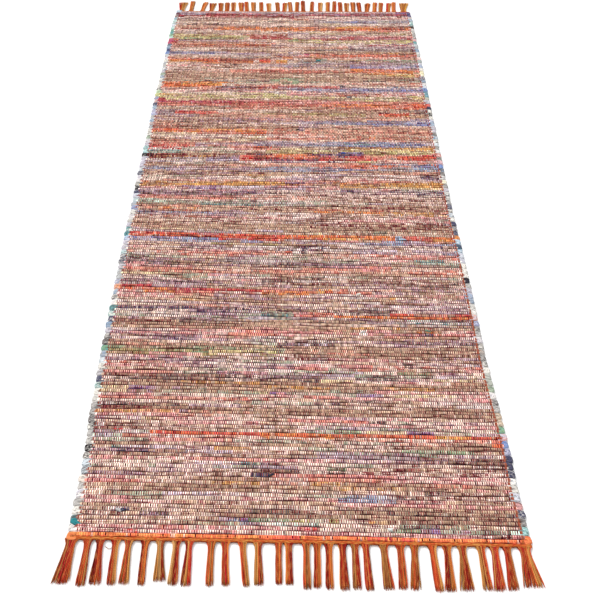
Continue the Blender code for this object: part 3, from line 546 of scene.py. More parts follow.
209 coral*brick -320 tan*salmon -140 coral*shell -50 shell*tan 20 white*khaki 220 white*mauve
210 crimson -325 salmon*brown -60 shell*tan 20 lime*khaki 120 olive*lime 150 shell*lime 230 lime*tan 330 mauve
211 coral*crimson -315 ash*mauve -150 tan*ash -60 cream -15 green*lime 20 lime*cream
212 salmon*orange -325 tan*charcoal -150 ash*tan -60 brick*tan -10 green*lime 18 brick*lime 120 lime*khaki
213 tan*lime -300 lime*green -140 shell*tan -118 crimson*brick -5 lime 18 crimson*mauve 330 crimson
214 lime*olive -150 shell*lime -118 brick*crimson -8 shell 40 rose*shell 90 shell*rose 140 rose*crimson
215 lime*tan -190 shell*lime -118 rose*brick -8 shell 40 shell*mauve 150 rose*shell 230 shell*rose
216 lime*tan -220 shell*brick -20 lavender*mauve 0 shell 60 khaki*shell 140 grey*tan
217 ash*khaki -200 shell*tan -20 ash*lavender 40 cream*olive 330 cream*khaki
218 tan*grey -280 cream*tan -60 shell*ash 20 yellow*cream 100 cream*tan 250 yellow*olive 280 cream*tan
219 shell*cream -240 cream*shell -90 orange*cream 20 salmon*cream 240 salmon*coral 310 cream
220 salmon*shell -230 orange*salmon -20 flame*orange 30 orange*salmon 130 flame 180 orange*coral 240
  salmon*coral
221 shell*salmon -315 brick*maroon -205 orange*brick 130 flame*orange 240 flame*maroon 325 orange
222 salmon*tan -215 orange*brown 0 orange*coral 60 salmon*brown 130 orange*gold 230 salmon*brown 260 brick 320
  maroon*orange
223 tan*salmon -200 salmon*tan -90 tan*shell -40 charcoal*tan -5 tan*shell 150 ochre*salmon 250 tan*maroon 315
  black*brown
224 tan*grey -305 charcoal -280 tan -255 charcoal -200 brown*tan -180 shell 90 yellow*tan 130 cream*shell 320
  shell
225 tan*grey -308 charcoal*tan -275 tan -255 charcoal*khaki -215 shell*cream 85 yellow*cream 135 shell*white
226 shell*cream -60 grey*tan 60 ash*grey 150 steel*grey 250 grey*ash
227 cream*tan -150 tan*cream -75 grey*sage 30 charcoal*grey 45 ash 88 steel*grey 170 blue*steel 240
  steel*sage 300 steel*grey
228 grey*khaki -280 cream*tan -200 shell*tan 60 charcoal*grey 90 grey*shell 200 ash*grey
229 ash -340 shell*charcoal -190 shell -108 brown -98 shell*cream 0 salmon 40 shell*ash
230 white -325 shell*brown -50 crimson*shell 12 salmon*shell 40 shell*rose
231 maroon -325 rose*shell -240 brick*rose -70 maroon*crimson 12 cream 60 shell 300 brown*maroon 330 shell
232 maroon*crimson -240 crimson*maroon -110 maroon*mauve 10 maroon*crimson 120 maroon*mauve 330 maroon
233 navy -343 mauve*steel -262 crimson*maroon -140 mauve*crimson 120 purple*crimson 200 maroon*crimson 235
  mauve*maroon 270 maroon*crimson 330 navy
234 lavender*mauve -262 rose*mauve -100 mauve*grey 100 mauve*rose 300 purple
235 lavender*ash 300 mauve*purple
"""


def two_colours(word):
    """A colour and the one that shows through it, which may be none."""
    main, _, second = word.partition("*")
    return main, second


def read_runs(words):
    """A row of the list as runs of [ends at x in metres, colour, second colour]."""
    runs = []
    for word in words:
        if word.lstrip("-").isdigit():
            runs[-1][0] = int(word) * MM
        else:
            runs.append([1.0, *two_colours(word)])
    return runs


ROWS = {}
for line in WEAVERS_LIST.strip().replace("\n ", " ").splitlines():
    number, *words = line.split()
    ROWS[int(number)] = read_runs(words)
print(len(ROWS), "rows, with", sum(len(runs) for runs in ROWS.values()), "lengths of rag")

# %% [markdown]
# ## Helpers for meshes
#
# One shape is modelled with Blender's mesh operators, then copied to many places with NumPy, which spreads a
# row of points over a column of copies. The copies become one mesh, because thousands of separate objects
# would be slow. Each corner gets a colour, and UV places that the materials read. A second UV layout,
# OFBake, gives every different look its own room.

# %% Build and copy shapes
def shape_of(bm):
    """The points and faces of a small modelled shape, as arrays."""
    bm.verts.ensure_lookup_table()
    bm.verts.index_update()
    points = np.array([v.co[:] for v in bm.verts])
    faces = [[v.index for v in f.verts] for f in bm.faces]
    bm.free()
    return points, faces


def face_corners(faces):
    """The point at each corner of each face, one after another."""
    return np.concatenate([np.array(f) for f in faces])


def many(name, shape, x, y, z):
    """Copies of a shape as one mesh. x, y and z hold a row of point places for each copy."""
    points, faces = shape
    copies = len(x)
    placed = np.stack([x, y, z], 2).astype(np.float32)
    corners = face_corners(faces) + (np.arange(copies) * len(points))[:, None]
    sizes = np.tile([len(f) for f in faces], copies)
    mesh = bpy.data.meshes.new(name)
    mesh.vertices.add(copies * len(points))
    mesh.vertices.foreach_set("co", placed.ravel())
    mesh.loops.add(corners.size)
    mesh.loops.foreach_set("vertex_index", corners.astype(np.int32).ravel())
    mesh.polygons.add(len(sizes))
    mesh.polygons.foreach_set("loop_start", (np.cumsum(sizes) - sizes).astype(np.int32))
    mesh.update(calc_edges=True)
    mesh.validate()
    return mesh


def corner_points(mesh):
    """The point number at each face corner."""
    at = np.zeros(len(mesh.loops), np.int32)
    mesh.loops.foreach_get("vertex_index", at)
    return at


def paint(mesh, name, colours):
    """Stores a colour at every face corner. colours has a row for each corner, or one for each copy."""
    layer = mesh.color_attributes.new(name, "FLOAT_COLOR", "CORNER")
    full = np.ones((len(mesh.loops), 4), np.float32)
    each = np.repeat(colours, len(mesh.loops) // len(colours), 0)
    full[:, : each.shape[1]] = np.clip(each, 0, 1)
    layer.data.foreach_set("color", full.ravel())


def lay_uv(mesh, name, u, v):
    """Stores a UV place at every face corner."""
    places = np.stack(np.broadcast_arrays(u, v), -1).astype(np.float32)
    mesh.uv_layers.new(name=name).data.foreach_set("uv", places.ravel())


def turn_outward(mesh):
    """Turns the faces of closed shapes to look out."""
    bm = bmesh.new()
    bm.from_mesh(mesh)
    bmesh.ops.recalc_face_normals(bm, faces=bm.faces)
    bm.to_mesh(mesh)
    bm.free()


def show(mesh, skin):
    """The finished piece: one smooth object at the origin, riding on the part's only body."""
    piece = bpy.data.objects.new(mesh.name, mesh)
    bpy.context.scene.collection.objects.link(piece)
    mesh.materials.append(skin)
    mesh.polygons.foreach_set("use_smooth", np.full(len(mesh.polygons), True))
    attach(piece, "root")
    triangles = sum(p.loop_total - 2 for p in mesh.polygons)
    print(f"{piece.name}: {len(mesh.polygons)} faces, {triangles} triangles")
    return piece


# %% [markdown]
# ## Helpers for materials
#
# Every material is a small network of nodes. `add` puts in one node, sets its numbers and joins its wires.
# All patterns follow the piece's own UV places or its own coordinates, so they stay on it in any view.

# %% Build materials
def begin(name, roughness):
    """A material with its node tree and its shader. Cotton is matt, so it hardly reflects."""
    made = bpy.data.materials.new(name)
    made.use_nodes = True
    tree = made.node_tree
    shader = tree.nodes["Principled BSDF"]
    shader.inputs["Roughness"].default_value = roughness
    shader.inputs["Specular IOR Level"].default_value = 0.02
    return made, tree, shader


def add(tree, kind, wires=(), **settings):
    """One node. wires are (input, value or socket) pairs; settings are the node's own properties."""
    made = tree.nodes.new(kind)
    for key, value in settings.items():
        setattr(made, key, value)
    for key, value in wires:
        if isinstance(value, bpy.types.NodeSocket):
            tree.links.new(value, made.inputs[key])
        else:
            made.inputs[key].default_value = value
    return made


def maths(tree, operation, a, b=0.0, c=0.0):
    return add(tree, "ShaderNodeMath", ((0, a), (1, b), (2, c)), operation=operation).outputs[0]


def times(tree, a, b):
    return maths(tree, "MULTIPLY", a, b)


def plus(tree, a, b):
    return maths(tree, "ADD", a, b)


def span(tree, value, low, high, at_low, at_high, steps="LINEAR"):
    """Takes a value from low..high to at_low..at_high, and holds it at the two ends."""
    wires = ((0, value), (1, low), (2, high), (3, at_low), (4, at_high))
    return add(tree, "ShaderNodeMapRange", wires, interpolation_type=steps, clamp=True).outputs[0]


def place(tree, x, y, z=0.0):
    return add(tree, "ShaderNodeCombineXYZ", ((0, x), (1, y), (2, z))).outputs[0]


def noise(tree, vector, scale, detail=2.0, rough=0.5):
    wires = (("Vector", vector), ("Scale", scale), ("Detail", detail), ("Roughness", rough))
    return add(tree, "ShaderNodeTexNoise", wires).outputs[0]


def streaks(tree, across, along, fresh=0.0, detail=2.0, rough=0.5):
    """Noise that is drawn out. across and along are each a place and how finely the noise varies there."""
    vector = place(tree, times(tree, *across), times(tree, *along), fresh)
    return noise(tree, vector, 1.0, detail, rough)


def chance_at(tree, x, y, z=0.0, kind="2D"):
    """A random number for each place, the same each time."""
    wires = ((0, place(tree, x, y, z)),)
    return add(tree, "ShaderNodeTexWhiteNoise", wires, noise_dimensions=kind).outputs[0]


def weave_places(tree):
    """The two weave coordinates of a piece: yarn number across, row number along."""
    uv = add(tree, "ShaderNodeUVMap", uv_map="Weave")
    split = add(tree, "ShaderNodeSeparateXYZ", ((0, uv.outputs[0]),))
    return split.outputs[0], split.outputs[1]


def stored(tree, name):
    """What a piece's own mesh stores under a name: Color and Alpha."""
    return add(tree, "ShaderNodeAttribute", attribute_name=name, attribute_type="GEOMETRY").outputs


def blend_colour(tree, share, a, b, how="MIX"):
    made = add(tree, "ShaderNodeMix", ((0, share), (6, a), (7, b)), data_type="RGBA", blend_type=how)
    return made.outputs[2]


def shaded(tree, colour, shade):
    return blend_colour(tree, 1.0, colour, shade, "MULTIPLY")


def grey(tree, value):
    return add(tree, "ShaderNodeCombineColor", ((0, value), (1, value), (2, value))).outputs[0]


def warm_shade(tree, value):
    """A shade that turns warm as it darkens, as light between red and orange yarns does."""
    green = maths(tree, "POWER", value, 1.33)
    blue = maths(tree, "POWER", value, 1.24)
    return add(tree, "ShaderNodeCombineColor", ((0, value), (1, green), (2, blue))).outputs[0]


def surface(tree, shader, colour, height, strength, depth):
    """Joins a colour and a relief to the shader. depth is how deep the relief is, in metres."""
    wires = (("Strength", strength), ("Distance", depth), ("Height", height))
    bump = add(tree, "ShaderNodeBump", wires)
    tree.links.new(colour, shader.inputs["Base Color"])
    tree.links.new(bump.outputs[0], shader.inputs["Normal"])


# %% [markdown]
# ## Rag cloth finish
#
# A rag is a strip of thin cotton, folded a few times lengthwise and beaten in. Seen close, it puffs up
# between two warp yarns, it is darker down in the groove, and it shows long soft folds and the flecks of
# its print. The material makes these from the weave coordinates: a print mask that starts anew in each row,
# a painted shade from groove to crest, a painted shade beside each yarn, painted shade along the folds and
# where rags lie deeper, and fine folds as bump. Noise runs from 0 to 1 and is mostly near a half, so `span`
# picks the part of it that a pattern uses.

# %% Make the rag cloth material
PALE_FOLD = (0.82, 0.73, 0.62, 1.0)


def print_over(tree, flecks, rag, second, softness, also=0.0):
    """The rag's colour with its second one in flecks. The stored Alpha says how much of it shows."""
    edge = maths(tree, "SUBTRACT", 0.66, times(tree, second["Alpha"], 0.30))
    mask = span(tree, flecks, edge, plus(tree, edge, softness), 0.0, 1.0)
    return blend_colour(tree, maths(tree, "MAXIMUM", mask, also), rag["Color"], second["Color"])


def rag_material(name):
    made, tree, shader = begin(name, 0.93)
    across, along = weave_places(tree)
    row = maths(tree, "FLOOR", along)
    fresh = times(tree, row, 17.37)
    rag = stored(tree, "rag")
    second = stored(tree, "print")
    # each block of rag between two yarns shows its own fold of the cloth
    block = maths(tree, "FLOOR", times(tree, plus(tree, across, row), 0.5))
    folded = maths(tree, "MULTIPLY_ADD", second["Alpha"], 0.12, 0.02)
    fold_here = maths(tree, "LESS_THAN", chance_at(tree, block, row), folded)
    # print: flecks and fold lines up to 25 mm long, a third of a row high
    flecks = streaks(tree, (across, 0.10), (along, 2.2), fresh, 3.0, 0.62)
    colour = print_over(tree, flecks, rag, second, 0.07, fold_here)
    pale_here = maths(tree, "LESS_THAN", chance_at(tree, block, row, 3.0, "3D"), 0.10)
    colour = blend_colour(tree, times(tree, pale_here, 0.45), colour, PALE_FOLD)
    # soft patches of wear, and painted shade along the folds
    patches = noise(tree, place(tree, times(tree, across, 0.035), fresh), 1.0)
    patches = span(tree, patches, 0.36, 0.64, 0.0, 1.0)
    folds = streaks(tree, (across, 0.09), (along, 7.0), fresh, 3.0, 0.65)
    tone = plus(tree, 0.575, plus(tree, times(tree, patches, 0.20), times(tree, folds, 0.70)))
    tone = plus(tree, tone, times(tree, chance_at(tree, row, block), 0.36))
    # painted light and shade: a few blocks together lie deeper or higher, so darker or lighter
    bunch = streaks(tree, (across, 0.40), (row, 0.77), fresh, 1.0)
    tone = times(tree, tone, span(tree, bunch, 0.34, 0.66, 0.60, 1.40))
    # painted light and shade: a full row often lies between two thin ones, so rows are a little lighter or
    # darker
    own_row = chance_at(tree, row, 7.0)
    next_row = chance_at(tree, plus(tree, row, 1.0), 7.0)
    fuller = maths(tree, "SUBTRACT", own_row, next_row)
    tone = times(tree, tone, maths(tree, "MULTIPLY_ADD", fuller, 0.10, 1.02))
    # painted shade: thin dark lines where a fold turns under
    tuck_shade = streaks(tree, (across, 0.04), (along, 3.1), fresh, 2.0, 0.6)
    tuck_shade = span(tree, tuck_shade, 0.36, 0.44, 0.32, 1.0)
    # painted shade: darker in the groove, which is more open in some places than in others
    crest = times(tree, maths(tree, "PINGPONG", along, 0.5), 2.0)
    pressed = streaks(tree, (across, 0.04), (maths(tree, "ROUND", along), 5.7))
    groove_shade_width = span(tree, pressed, 0.40, 0.62, 0.34, 0.62)
    groove_floor_shade = span(tree, pressed, 0.40, 0.60, 0.74, 0.08)
    groove = span(tree, crest, 0.0, groove_shade_width, groove_floor_shade, 1.0, "SMOOTHSTEP")
    # painted shade beside a yarn, but the first row is packed tight and has no such shade
    puff = maths(tree, "PINGPONG", plus(tree, across, row), 1.0)
    beside = span(tree, puff, 0.30, 0.95, 0.42, 1.08, "SMOOTHSTEP")
    beside = maths(tree, "MAXIMUM", beside, maths(tree, "LESS_THAN", row, 0.5))
    # painted shade of the groove, the yarn sides and the tucks together, warmer as it darkens
    painted_hollow_shade = times(tree, times(tree, groove, beside), tuck_shade)
    colour = shaded(tree, colour, grey(tree, tone))
    colour = shaded(tree, colour, warm_shade(tree, painted_hollow_shade))
    # bump: puffed between yarns, fine folds and cloth grain
    grain = noise(tree, place(tree, across, times(tree, along, 4.4)), 3.0)
    fine = plus(tree, times(tree, folds, 0.9), times(tree, grain, 0.25))
    height = plus(tree, times(tree, puff, 0.5), fine)
    surface(tree, shader, colour, height, 0.55, 0.6 * MM)
    return made


rag_skin = rag_material("rag_cotton")

# %% [markdown]
# ## The ribbed cloth
#
# The cloth is a thin sheet with a line of points in each groove, on each shoulder and on each crest. A grid
# gives the sheet, and a solidify operator gives it an underside and closed rims. Then each point is moved
# to its place in the weave. The underside is ribbed as well, more flatly, since the rug rests on it.

# %% Weave the rag cloth
COLUMNS = 48
PER_ROW = 4                 # lines of points to a rag row
STATIONS = PER_ROW * PICKS
SHOULDER = 2.2 * MM         # the last full-height column, past the outermost yarn
RIM = 7.0 * MM              # the closed rim, past the outermost yarn
RIM_TOP, RIM_FOOT = 2.6 * MM, 1.2 * MM
SHOULDER_DROP = 0.4 * MM
UNDERSIDE, UNDER_RIB = 0.35 * MM, 0.9 * MM


def weave_cloth():
    """The cloth's mesh, and each point's column, row, yarn and whether it is on the upper side."""
    bm = bmesh.new()
    bmesh.ops.create_grid(bm, x_segments=COLUMNS, y_segments=STATIONS, size=1.0)
    bmesh.ops.solidify(bm, geom=list(bm.faces), thickness=0.1)
    mesh = bpy.data.meshes.new("rag_cloth")
    bm.to_mesh(mesh)
    bm.free()
    co = np.zeros(len(mesh.vertices) * 3, np.float32)
    mesh.vertices.foreach_get("co", co)
    co = co.reshape(-1, 3).astype(float)
    column = np.rint((co[:, 0] + 1) / 2 * COLUMNS)
    row = np.rint((co[:, 1] + 1) / 2 * STATIONS) / PER_ROW
    levels = co[:, 2] - co[:, 2].min()
    upper = levels > levels.max() / 2
    # columns: rim, shoulder, then evenly over the yarns
    yarn = np.clip((column - 2) / (COLUMNS - 4), 0, 1) * LAST
    rim = (column == 0) | (column == COLUMNS)
    shoulder = (column == 1) | (column == COLUMNS - 1)
    past = np.where(rim, RIM, np.where(shoulder, SHOULDER, 0.0))
    x = yarn_x(yarn, START + row * PITCH) + np.where(column < 2, -past, past)
    flat = np.interp(row - np.floor(row), ARCH_AT, ARCH)
    top = np.where(rim, RIM_TOP, rag_top(x, row) - np.where(shoulder, SHOULDER_DROP, 0.0))
    z = np.where(upper, top, np.where(rim, RIM_FOOT, UNDERSIDE + UNDER_RIB * (1 - flat)))
    mesh.vertices.foreach_set("co", np.stack([x, rag_y(x, row), z], 1).astype(np.float32).ravel())
    mesh.update()
    return mesh, column, row, yarn, upper


def rag_at(number, x, chance):
    """Colour, second colour and amount of print of the rag in a row at x."""
    for ends, main, second in ROWS[number]:
        if x < ends:
            break
    first = washed(main) * chance.uniform(0.93, 1.07)
    if second:
        # in some places the two colours lie folded together
        if chance.random() < 0.22:
            first = first * 0.45 + washed(second) * 0.55
        return *first, *washed(second), chance.uniform(0.35, 0.85)
    return *first, *(first * 0.72), chance.uniform(0.05, 0.35)


def colour_cloth(mesh, column, row, yarn, upper):
    """Looks up every face's rag and stores it at the face's corners."""
    chance = random.Random(5)
    table = np.zeros((PICKS, COLUMNS, 7), np.float32)
    for number in range(PICKS):
        for cell in range(COLUMNS):
            yarn_here = min(max(cell - 1.5, 0), COLUMNS - 4) / (COLUMNS - 4) * LAST
            table[number, cell] = rag_at(number, yarn_x(yarn_here, START + number * PITCH), chance)
    at = corner_points(mesh)
    size = np.zeros(len(mesh.polygons), np.int32)
    mesh.polygons.foreach_get("loop_total", size)
    face = np.repeat(np.arange(len(size)), size)
    low_row = np.full(len(size), 1e9)
    low_column = np.full(len(size), 1e9)
    np.minimum.at(low_row, face, row[at])
    np.minimum.at(low_column, face, column[at])
    number = np.clip(np.floor(low_row[face]), 0, PICKS - 1).astype(int)
    cell = np.clip(low_column[face], 0, COLUMNS - 1).astype(int)
    looks = table[number, cell]
    paint(mesh, "rag", looks[:, :3])
    paint(mesh, "print", looks[:, 3:])
    # a face's upper corners stay just inside its own row, so that the material takes them for it
    inside = np.clip(row[at] - low_row[face], 0.0, 0.2499)
    lay_uv(mesh, "Weave", yarn[at], low_row[face] + inside)
    share = row[at] / PICKS
    v = np.where(upper[at], 0.002 + 0.858 * share, 0.872 + 0.124 * share)
    lay_uv(mesh, "OFBake", column[at] / COLUMNS * 0.996 + 0.002, v)


cloth_mesh, *point_places = weave_cloth()
colour_cloth(cloth_mesh, *point_places)
cloth = show(cloth_mesh, rag_skin)
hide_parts("rug_body")

# %% [markdown]
# ## The warp yarns
#
# Averaged over many rows, the photo shows a repeat of 13 warp yarns: very dark red at places 5 and 11,
# and ochre, rust and brick between. Where a yarn passes over a rag it shows as a short float.
# One float is modelled from a small grid: a low ridge, its ends tucked down into the grooves. It is copied
# to every second crossing, about 42 thousand in all, sorted by yarn colour into separate pieces.

# %% Model one float
FLOAT_STATIONS = (0.0, 0.27, 0.73, 1.0)


def float_shape():
    """A float: x across from -1 to 1, y along the yarn from 0 to 1, z from the rag at 0 to its ridge at 1."""
    bm = bmesh.new()
    bmesh.ops.create_grid(bm, x_segments=2, y_segments=3, size=1.0)
    ends = [v for v in bm.verts if abs(v.co.x) < 0.01 and abs(v.co.y) > 0.99]
    bmesh.ops.dissolve_verts(bm, verts=ends)
    for vert in bm.verts:
        tucked = abs(vert.co.y) > 0.99
        vert.co.y = FLOAT_STATIONS[round((vert.co.y + 1) * 1.5)]
        vert.co.z = -0.9 if tucked else (1.0 if abs(vert.co.x) < 0.01 else 0.15)
        vert.co.x *= 0.82 if tucked else 1.0
    return shape_of(bm)


FLOAT = float_shape()
print("one float:", len(FLOAT[0]), "points,", len(FLOAT[1]), "faces")

# %% [markdown]
# ## Yarn finish
#
# The yarns are plied cotton. The twist of the plies is painted as slanting light and dark shade along the
# yarn, and in the fringe a second, ochre ply shows here and there. The material reads the yarn's own Weave
# layout: across it and along it. The colour itself comes with the mesh, a little lighter or darker from yarn to
# yarn.

# %% Make the yarn material
YARN_COLOURS = {
    "ochre": (202, 138, 76), "tan": (212, 160, 104), "gold": (222, 160, 72), "orange": (205, 112, 52),
    "rust": (194, 78, 42), "brick": (176, 54, 38), "red": (192, 50, 36), "dark": (142, 32, 28),
    "crimson": (166, 34, 38), "brown": (156, 92, 52),
}


def dye(name):
    """A yarn's colour for a shader."""
    return (*linear(YARN_COLOURS[name]), 1.0)


def yarn_material(name, twists, tilt, depth, second_ply=0.0):
    """Plied cotton. twists is how often the plies turn, tilt how much they slant, depth their relief."""
    made, tree, shader = begin(name, 0.9)
    across, along = weave_places(tree)
    slant = plus(tree, times(tree, across, tilt), times(tree, along, twists))
    ply = maths(tree, "PINGPONG", slant, 0.5)
    fibre = streaks(tree, (across, 7.0), (along, 2.0), slant, 3.0, 0.6)
    # painted shade: the twisted plies as slanting light and dark lines, with fibre streaks
    light = plus(tree, 0.40, plus(tree, times(tree, ply, 0.9), times(tree, fibre, 0.55)))
    stretch = streaks(tree, (across, 1.5), (along, 0.45))
    other_ply = span(tree, stretch, 0.50, 0.62, 0.0, second_ply)
    colour = blend_colour(tree, other_ply, stored(tree, "yarn")["Color"], dye("ochre"))
    colour = shaded(tree, colour, grey(tree, light))
    surface(tree, shader, colour, plus(tree, ply, times(tree, fibre, 0.35)), 0.5, depth)
    return made


warp_skin = yarn_material("cotton_warp_yarn", 2.5, 0.5, 0.3 * MM)

# %% Lay the warp over the rags
REPEAT = (
    "ochre", "ochre", "rust", "ochre", "brick", "dark",
    "rust", "brick", "ochre", "rust", "rust", "dark", "ochre",
)
WARP_COLOURS = {"dark": (86, 8, 22), "brick": (136, 42, 46), "rust": (170, 90, 80), "ochre": (178, 136, 106)}
ORANGE_ENDS = np.array((0.72, 0.135, 0.022))    # over the first row the yarns are orange
RUSTY_SIDES = np.array((0.36, 0.11, 0.04))      # and at the two sides rusty, towards the near end
SIDE_YARNS = (0, 1, LAST - 1, LAST)
FLOAT_HALF = 0.76 * MM
FLOAT_RISE = 0.42 * MM
DARK_WIDER, SIDE_WIDER, PAIR_WIDER = 1.65, 1.3, 0.6
PAIR_RISE = 0.5 * MM
PAIR_FULL, PAIR_SUNK = 70, 150      # the rows between which the pair at the right sinks in
CELLS = 32                          # looks in each direction of the bake layout
CELL_MARGIN = 0.1


def warp_kind(number):
    if number in SIDE_YARNS:
        return "rust" if number == LAST else "brick"
    return REPEAT[number % len(REPEAT)]


def lay_cells(mesh, cell, side, up, ply):
    """The layouts of many floats. side runs over a float from -1 to 1, up from 0 to 1; ply is its twist."""
    cell = cell[:, None]
    u = cell % CELLS + CELL_MARGIN + (0.5 - CELL_MARGIN) * (side + 1)
    v = cell // CELLS + CELL_MARGIN + (1 - 2 * CELL_MARGIN) * up
    lay_uv(mesh, "OFBake", u / CELLS, v / CELLS)
    lay_uv(mesh, "Weave", cell * 3.0 + side * 0.5, cell * 7.0 + ply)


def lay_warp(kind, seed):
    chance = np.random.default_rng(seed)
    numbers = np.array([n for n in range(YARNS) if warp_kind(n) == kind])
    tone = dict(zip(numbers, chance.uniform(0.82, 1.16, len(numbers))))
    grid_yarn, grid_row = np.meshgrid(numbers, np.arange(PICKS), indexing="ij")
    # the outermost yarn at the right is a pair, so one of the two is over every rag
    over = ((grid_yarn + grid_row) % 2 == 0) | (grid_yarn == LAST)
    yarns, rows = grid_yarn[over], grid_row[over]
    variety = CELLS * CELLS // len(numbers)
    first_cell = np.searchsorted(numbers, yarns) * variety
    cell = (first_cell + chance.integers(0, variety, len(yarns))) % (CELLS * CELLS)
    cell_tone = chance.uniform(0.74, 1.26, CELLS * CELLS)
    points, faces = FLOAT
    along = rows[:, None] + points[:, 1]
    width = FLOAT_HALF * (1 + 0.10 * np.sin(1.7 * yarns + 0.6 * rows))
    width = width * (DARK_WIDER if kind == "dark" else 1.0)
    width = np.where(np.isin(yarns, SIDE_YARNS), width * SIDE_WIDER, width)
    # the pair at the right shows best at the near end and sinks between the rags further on
    nearness = np.clip((PAIR_SUNK - rows) / (PAIR_SUNK - PAIR_FULL), 0, 1)
    doubled = (yarns == LAST) * nearness
    width = width * (1 + PAIR_WIDER * doubled)
    x = yarn_x(yarns[:, None], START + along * PITCH) + points[:, 0] * width[:, None]
    inner = np.clip(along, rows[:, None] + 0.001, rows[:, None] + 0.999)
    z = rag_top(x, inner) + points[:, 2] * FLOAT_RISE + doubled[:, None] * PAIR_RISE
    mesh = many(f"warp_{kind}", FLOAT, x, rag_y(x, along), z)
    base = linear(WARP_COLOURS[kind])
    shade = base * (np.array([tone[n] for n in yarns]) * cell_tone[cell])[:, None]
    if kind != "dark":
        shade[rows == 0] = shade[rows == 0] * 0.3 + ORANGE_ENDS * 0.7
    rusty = np.where((yarns == 0) | (yarns == LAST), 0.5 * nearness, 0)[:, None]
    paint(mesh, "yarn", shade * (1 - rusty) + RUSTY_SIDES * rusty)
    local = points[face_corners(faces)]
    lay_cells(mesh, cell, local[:, 0], local[:, 1], local[:, 1])
    return show(mesh, warp_skin)


warp_pieces = [lay_warp(kind, seed) for seed, kind in enumerate(WARP_COLOURS, 11)]

# %% [markdown]
# ## The underside
#
# A rag rug is the same on both sides: where a yarn isn't over a rag it is under it. Below, the floats press
# flat against the floor, so a plain strip of four corners is enough for each. They all go in one piece.

# %% Lay the warp under the rags
UNDER_Z = 0.12 * MM
UNDER_LOOKS = 256           # looks of each yarn colour in the bake layout


def lay_under():
    bm = bmesh.new()
    bmesh.ops.create_grid(bm, x_segments=1, y_segments=1, size=1.0)
    bmesh.ops.reverse_faces(bm, faces=bm.faces)
    points, faces = shape_of(bm)
    chance = np.random.default_rng(29)
    grid_yarn, grid_row = np.meshgrid(np.arange(YARNS), np.arange(PICKS), indexing="ij")
    under = (grid_yarn + grid_row) % 2 == 1
    yarns, rows = grid_yarn[under], grid_row[under]
    along = rows[:, None] + 0.5 + 0.36 * points[:, 1]
    x = yarn_x(yarns[:, None], START + along * PITCH) + points[:, 0] * FLOAT_HALF
    mesh = many("warp_underside", (points, faces), x, rag_y(x, along), np.full(x.shape, UNDER_Z))
    kinds = list(WARP_COLOURS)
    kind = np.array([kinds.index(warp_kind(n)) for n in range(YARNS)])[yarns]
    variant = chance.integers(0, UNDER_LOOKS, len(yarns))
    tone = chance.uniform(0.82, 1.14, UNDER_LOOKS)
    base = np.array([linear(WARP_COLOURS[k]) for k in kinds])
    paint(mesh, "yarn", base[kind] * tone[variant][:, None])
    local = points[face_corners(faces)]
    lay_cells(mesh, kind * UNDER_LOOKS + variant, local[:, 0], (local[:, 1] + 1) / 2, local[:, 1] * 0.5)
    return show(mesh, warp_skin)


under_piece = lay_under()

# %% [markdown]
# ## The turned rags at the sides
#
# At the end of a row the rag turns round the outermost yarn and comes back in the next row. There are no
# warp yarns to press it down, so it swells into a fat loop. A loop is modelled with a ring that is spun
# half a turn, with a leg drawn out from each end. Its ring isn't round but creased, as folded cloth is.
# Right loops join rows 0 and 1, 2 and 3 and so on; left loops join the rows between. The two lists give the
# loops' colours from near to far, as y in mm and a colour.

# %% Model one turned rag
RING = 14
RING_OUT, RING_UP = 0.47, 0.5       # half the ring's width and height, in row distances
SQUARED = 0.62                      # below 1 the turn is squarer than round
LEG_STEP = 0.45


def pressed_turn(share):
    return math.copysign(abs(share) ** SQUARED, share)


def loop_shape():
    """x outwards, y along the cloth with legs at -0.5 and 0.5, z up. The turn's outer face is at x = 0."""
    bm = bmesh.new()
    bmesh.ops.create_circle(bm, segments=RING, radius=1.0, cap_ends=False)
    for corner, vert in enumerate(bm.verts):
        angle = 2 * math.pi * corner / RING
        crease = 1.0 + (0.10 if corner % 2 else -0.07) + 0.06 * math.sin(3 * angle + 1.0)
        beside, up = RING_OUT * crease * math.cos(angle), RING_UP * crease * math.sin(angle)
        vert.co = Vector((0.0, -0.5 + beside, up))
    ring = list(bm.edges)
    bmesh.ops.spin(bm, geom=ring, cent=(0, 0, 0), axis=(0, 0, 1), angle=math.pi, steps=8, use_duplicate=False)
    for vert in bm.verts:
        # squarer than round: a pressed turn lies close to its neighbours
        out = math.hypot(vert.co.x, vert.co.y)
        turn = math.atan2(vert.co.y, vert.co.x)
        vert.co.x = out * pressed_turn(math.cos(turn))
        vert.co.y = out * pressed_turn(math.sin(turn))
    for _ in range(2):
        open_ends = [e for e in bm.edges if e.is_boundary]
        drawn = bmesh.ops.extrude_edge_only(bm, edges=open_ends)["geom"]
        for vert in (v for v in drawn if isinstance(v, bmesh.types.BMVert)):
            vert.co.x -= LEG_STEP
    bmesh.ops.holes_fill(bm, edges=[e for e in bm.edges if e.is_boundary], sides=0)
    bmesh.ops.recalc_face_normals(bm, faces=bm.faces)
    reach = max(v.co.x for v in bm.verts)
    for vert in bm.verts:
        vert.co.x -= reach
    return shape_of(bm)


LOOP = loop_shape()
print("one turned rag:", len(LOOP[0]), "points,", len(LOOP[1]), "faces")

